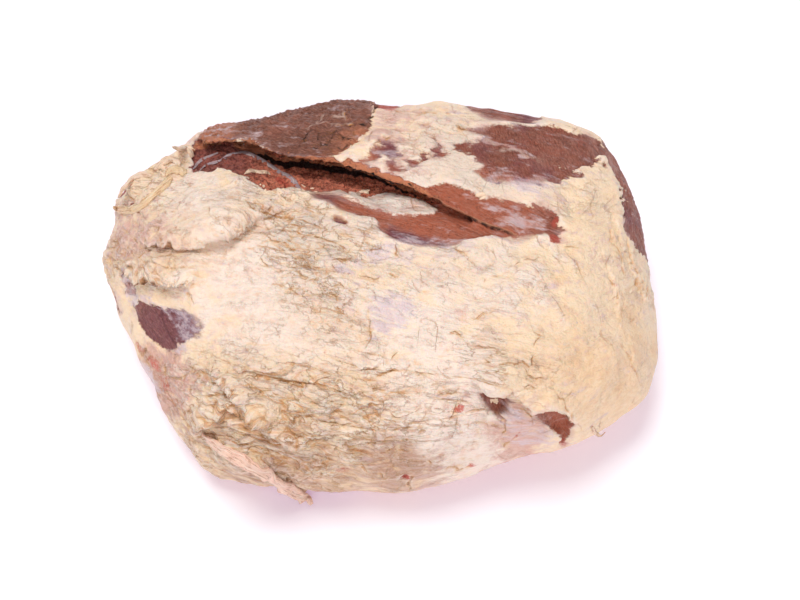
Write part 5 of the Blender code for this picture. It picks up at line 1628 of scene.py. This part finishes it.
sinew_look = strand_material("sinew_and_tendon")
finished_piece("loose_sinew", strand_mesh("loose_sinew", STRANDS, 5), sinew_look)
finished_piece("tendon_and_cord", strand_mesh("tendon_and_cord", TENDONS, 6), sinew_look)
finished_piece("fat_curls", strand_mesh("fat_curls", CURLS, 7), strand_material("fat_curl"))

# Torn bits of fat
# Small lumpy flakes and crumbs of fat that cling where the fat cover was torn: along the lips of the
# cleft, on the edges of the folds and round the torn end. They are scattered on seeded places there.
FLAKE_ROWS = [
    # (line they cling to, how many, how far they stray in millimetres, their size in millimetres)
    ([(-176, 95), (-168, 101), (-160, 106), (-154, 104)], 14, 3.0, 2.2),
    ([(-172, 90), (-160, 96), (-153, 94)], 10, 3.0, 1.8),
    ([(-92, 77), (-86, 73), (-80, 71), (-74, 74)], 14, 2.5, 1.3),
    ([(-100, 82), (-90, 79), (-78, 81), (-67, 80), (-55, 79)], 16, 1.4, 1.3),
    ([(-150, 41), (-135, 45), (-122, 49), (-110, 55)], 16, 1.6, 1.1),
    ([(-180, 16), (-170, 14), (-160, 13), (-153, 13)], 14, 1.6, 1.2),
    ([(-34, 78), (-28, 79), (-24, 77)], 5, 1.2, 2.4),
    ([(57, 76.5), (60, 75)], 2, 0.8, 2.6),
    ([(128, 93), (136, 95), (143, 100)], 6, 1.2, 1.2),
    ([(-45, 112), (-36, 108), (-28, 112), (-24, 120)], 12, 2.0, 1.0),
    ([(-130, -112), (-110, -122), (-94, -132)], 10, 3.0, 1.2),
    ([(66, -73), (70, -74)], 3, 0.6, 1.3),
]
FLAKE_SEED = 21
FLAKE_SMOOTHNESS = 3
FLAKE_LEAST = (0.8, 0.35, 0.15)
FLAKE_MOST = (1.9, 0.9, 0.35)
FLAKE_TILT = 0.4
FLAKE_SPIN = 6.28
LUMP_SCALE = 420
# The noise uses about a quarter of this, in millimetres, either way.
FLAKE_LUMPS = 2.0

draw = np.random.default_rng(FLAKE_SEED)
flake_places, flake_facings, flake_sizes = [], [], []
for line, count, stray, size in FLAKE_ROWS:
    line = smooth_line(line, 8)
    for _ in range(count):
        x, w = line[draw.integers(len(line))] + draw.normal(0, stray, 2)
        place_here, facing_here = on_cut(x, w, 0.0, 0.0)
        flake_places.append(place_here)
        flake_facings.append(facing_here)
        flake_sizes.append(size * draw.uniform(0.6, 1.5) * MM)
spots = bpy.data.meshes.new("flake_spots")
spots.from_pydata([tuple(spot_here) for spot_here in flake_places], [], [])
paint_points(spots, "facing", *np.array(flake_facings).T)
paint_points(spots, "size", *np.tile(flake_sizes, (3, 1)))


def flake_tree(look):
    """Puts a flattened lumpy flake on each point, facing as the point says and turned at random."""
    tree = bpy.data.node_groups.new("fat_flakes", "GeometryNodeTree")
    for label, kind in (("Places", "Geometry"), ("Lumps", "Float"), ("Seed", "Int")):
        tree.interface.new_socket(label, in_out="INPUT", socket_type="NodeSocket" + kind)
    tree.interface.new_socket("Flakes", in_out="OUTPUT", socket_type="NodeSocketGeometry")
    enter = tree.nodes.new("NodeGroupInput")
    places, lumps, seed = [Paint(tree, enter.outputs[label]) for label in ("Places", "Lumps", "Seed")]
    recipe = Paint(tree)
    vector = {"data_type": "FLOAT_VECTOR"}
    facing_here = recipe.node("GeometryNodeInputNamedAttribute", vector, {"Name": "facing"})
    size_here = recipe.node("GeometryNodeInputNamedAttribute", vector, {"Name": "size"})
    ball = recipe.node("GeometryNodeMeshIcoSphere", sockets={"Radius": 1.0, "Subdivisions": FLAKE_SMOOTHNESS})
    shapes = {"Min": FLAKE_LEAST, "Max": FLAKE_MOST, "Seed": seed}
    shape = recipe.node("FunctionNodeRandomValue", vector, shapes)
    scaled = {"Vector": shape, "Vector_001": size_here}
    scale = recipe.node("ShaderNodeVectorMath", {"operation": "MULTIPLY"}, scaled)
    lean_over = recipe.node("FunctionNodeAlignRotationToVector", {"axis": "Z"}, {"Vector": facing_here})
    least_turn = (-FLAKE_TILT, -FLAKE_TILT, 0.0)
    most_turn = (FLAKE_TILT, FLAKE_TILT, FLAKE_SPIN)
    spins = {"Min": least_turn, "Max": most_turn, "Seed": seed}
    spin = recipe.node("FunctionNodeRandomValue", vector, spins)
    turned = {"Rotation": lean_over, "Rotate By": spin}
    turned = recipe.node("FunctionNodeRotateRotation", {"rotation_space": "LOCAL"}, turned)
    copies = {"Points": places, "Instance": ball, "Rotation": turned, "Scale": scale}
    flakes = recipe.node("GeometryNodeInstanceOnPoints", sockets=copies)
    flakes = recipe.node("GeometryNodeRealizeInstances", sockets={"Geometry": flakes})
    noise = recipe.node("GeometryNodeInputPosition").noise(LUMP_SCALE, 3, 0.6)
    normal = recipe.node("GeometryNodeInputNormal")
    push = recipe.node(
        "ShaderNodeVectorMath", {"operation": "SCALE"}, {"Vector": normal, "Scale": (noise - 0.5) * lumps}
    )
    flakes = recipe.node("GeometryNodeSetPosition", sockets={"Geometry": flakes, "Offset": push})
    flakes = recipe.node("GeometryNodeSetMaterial", sockets={"Geometry": flakes, "Material": look})
    leave = tree.nodes.new("NodeGroupOutput")
    tree.links.new(flakes.socket, leave.inputs["Flakes"])
    return tree


flake_look = strand_material("torn_fat")
scattered = bpy.data.objects.new("scattered", spots)
bpy.context.scene.collection.objects.link(scattered)
scatter = scattered.modifiers.new("scatter", "NODES")
scatter.node_group = flake_tree(flake_look)
for label, value in (("Lumps", FLAKE_LUMPS * MM), ("Seed", FLAKE_SEED)):
    scatter[scatter.node_group.interface.items_tree[label].identifier] = value
finished_piece("fat_flakes", worked(scattered), flake_look)

low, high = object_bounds()
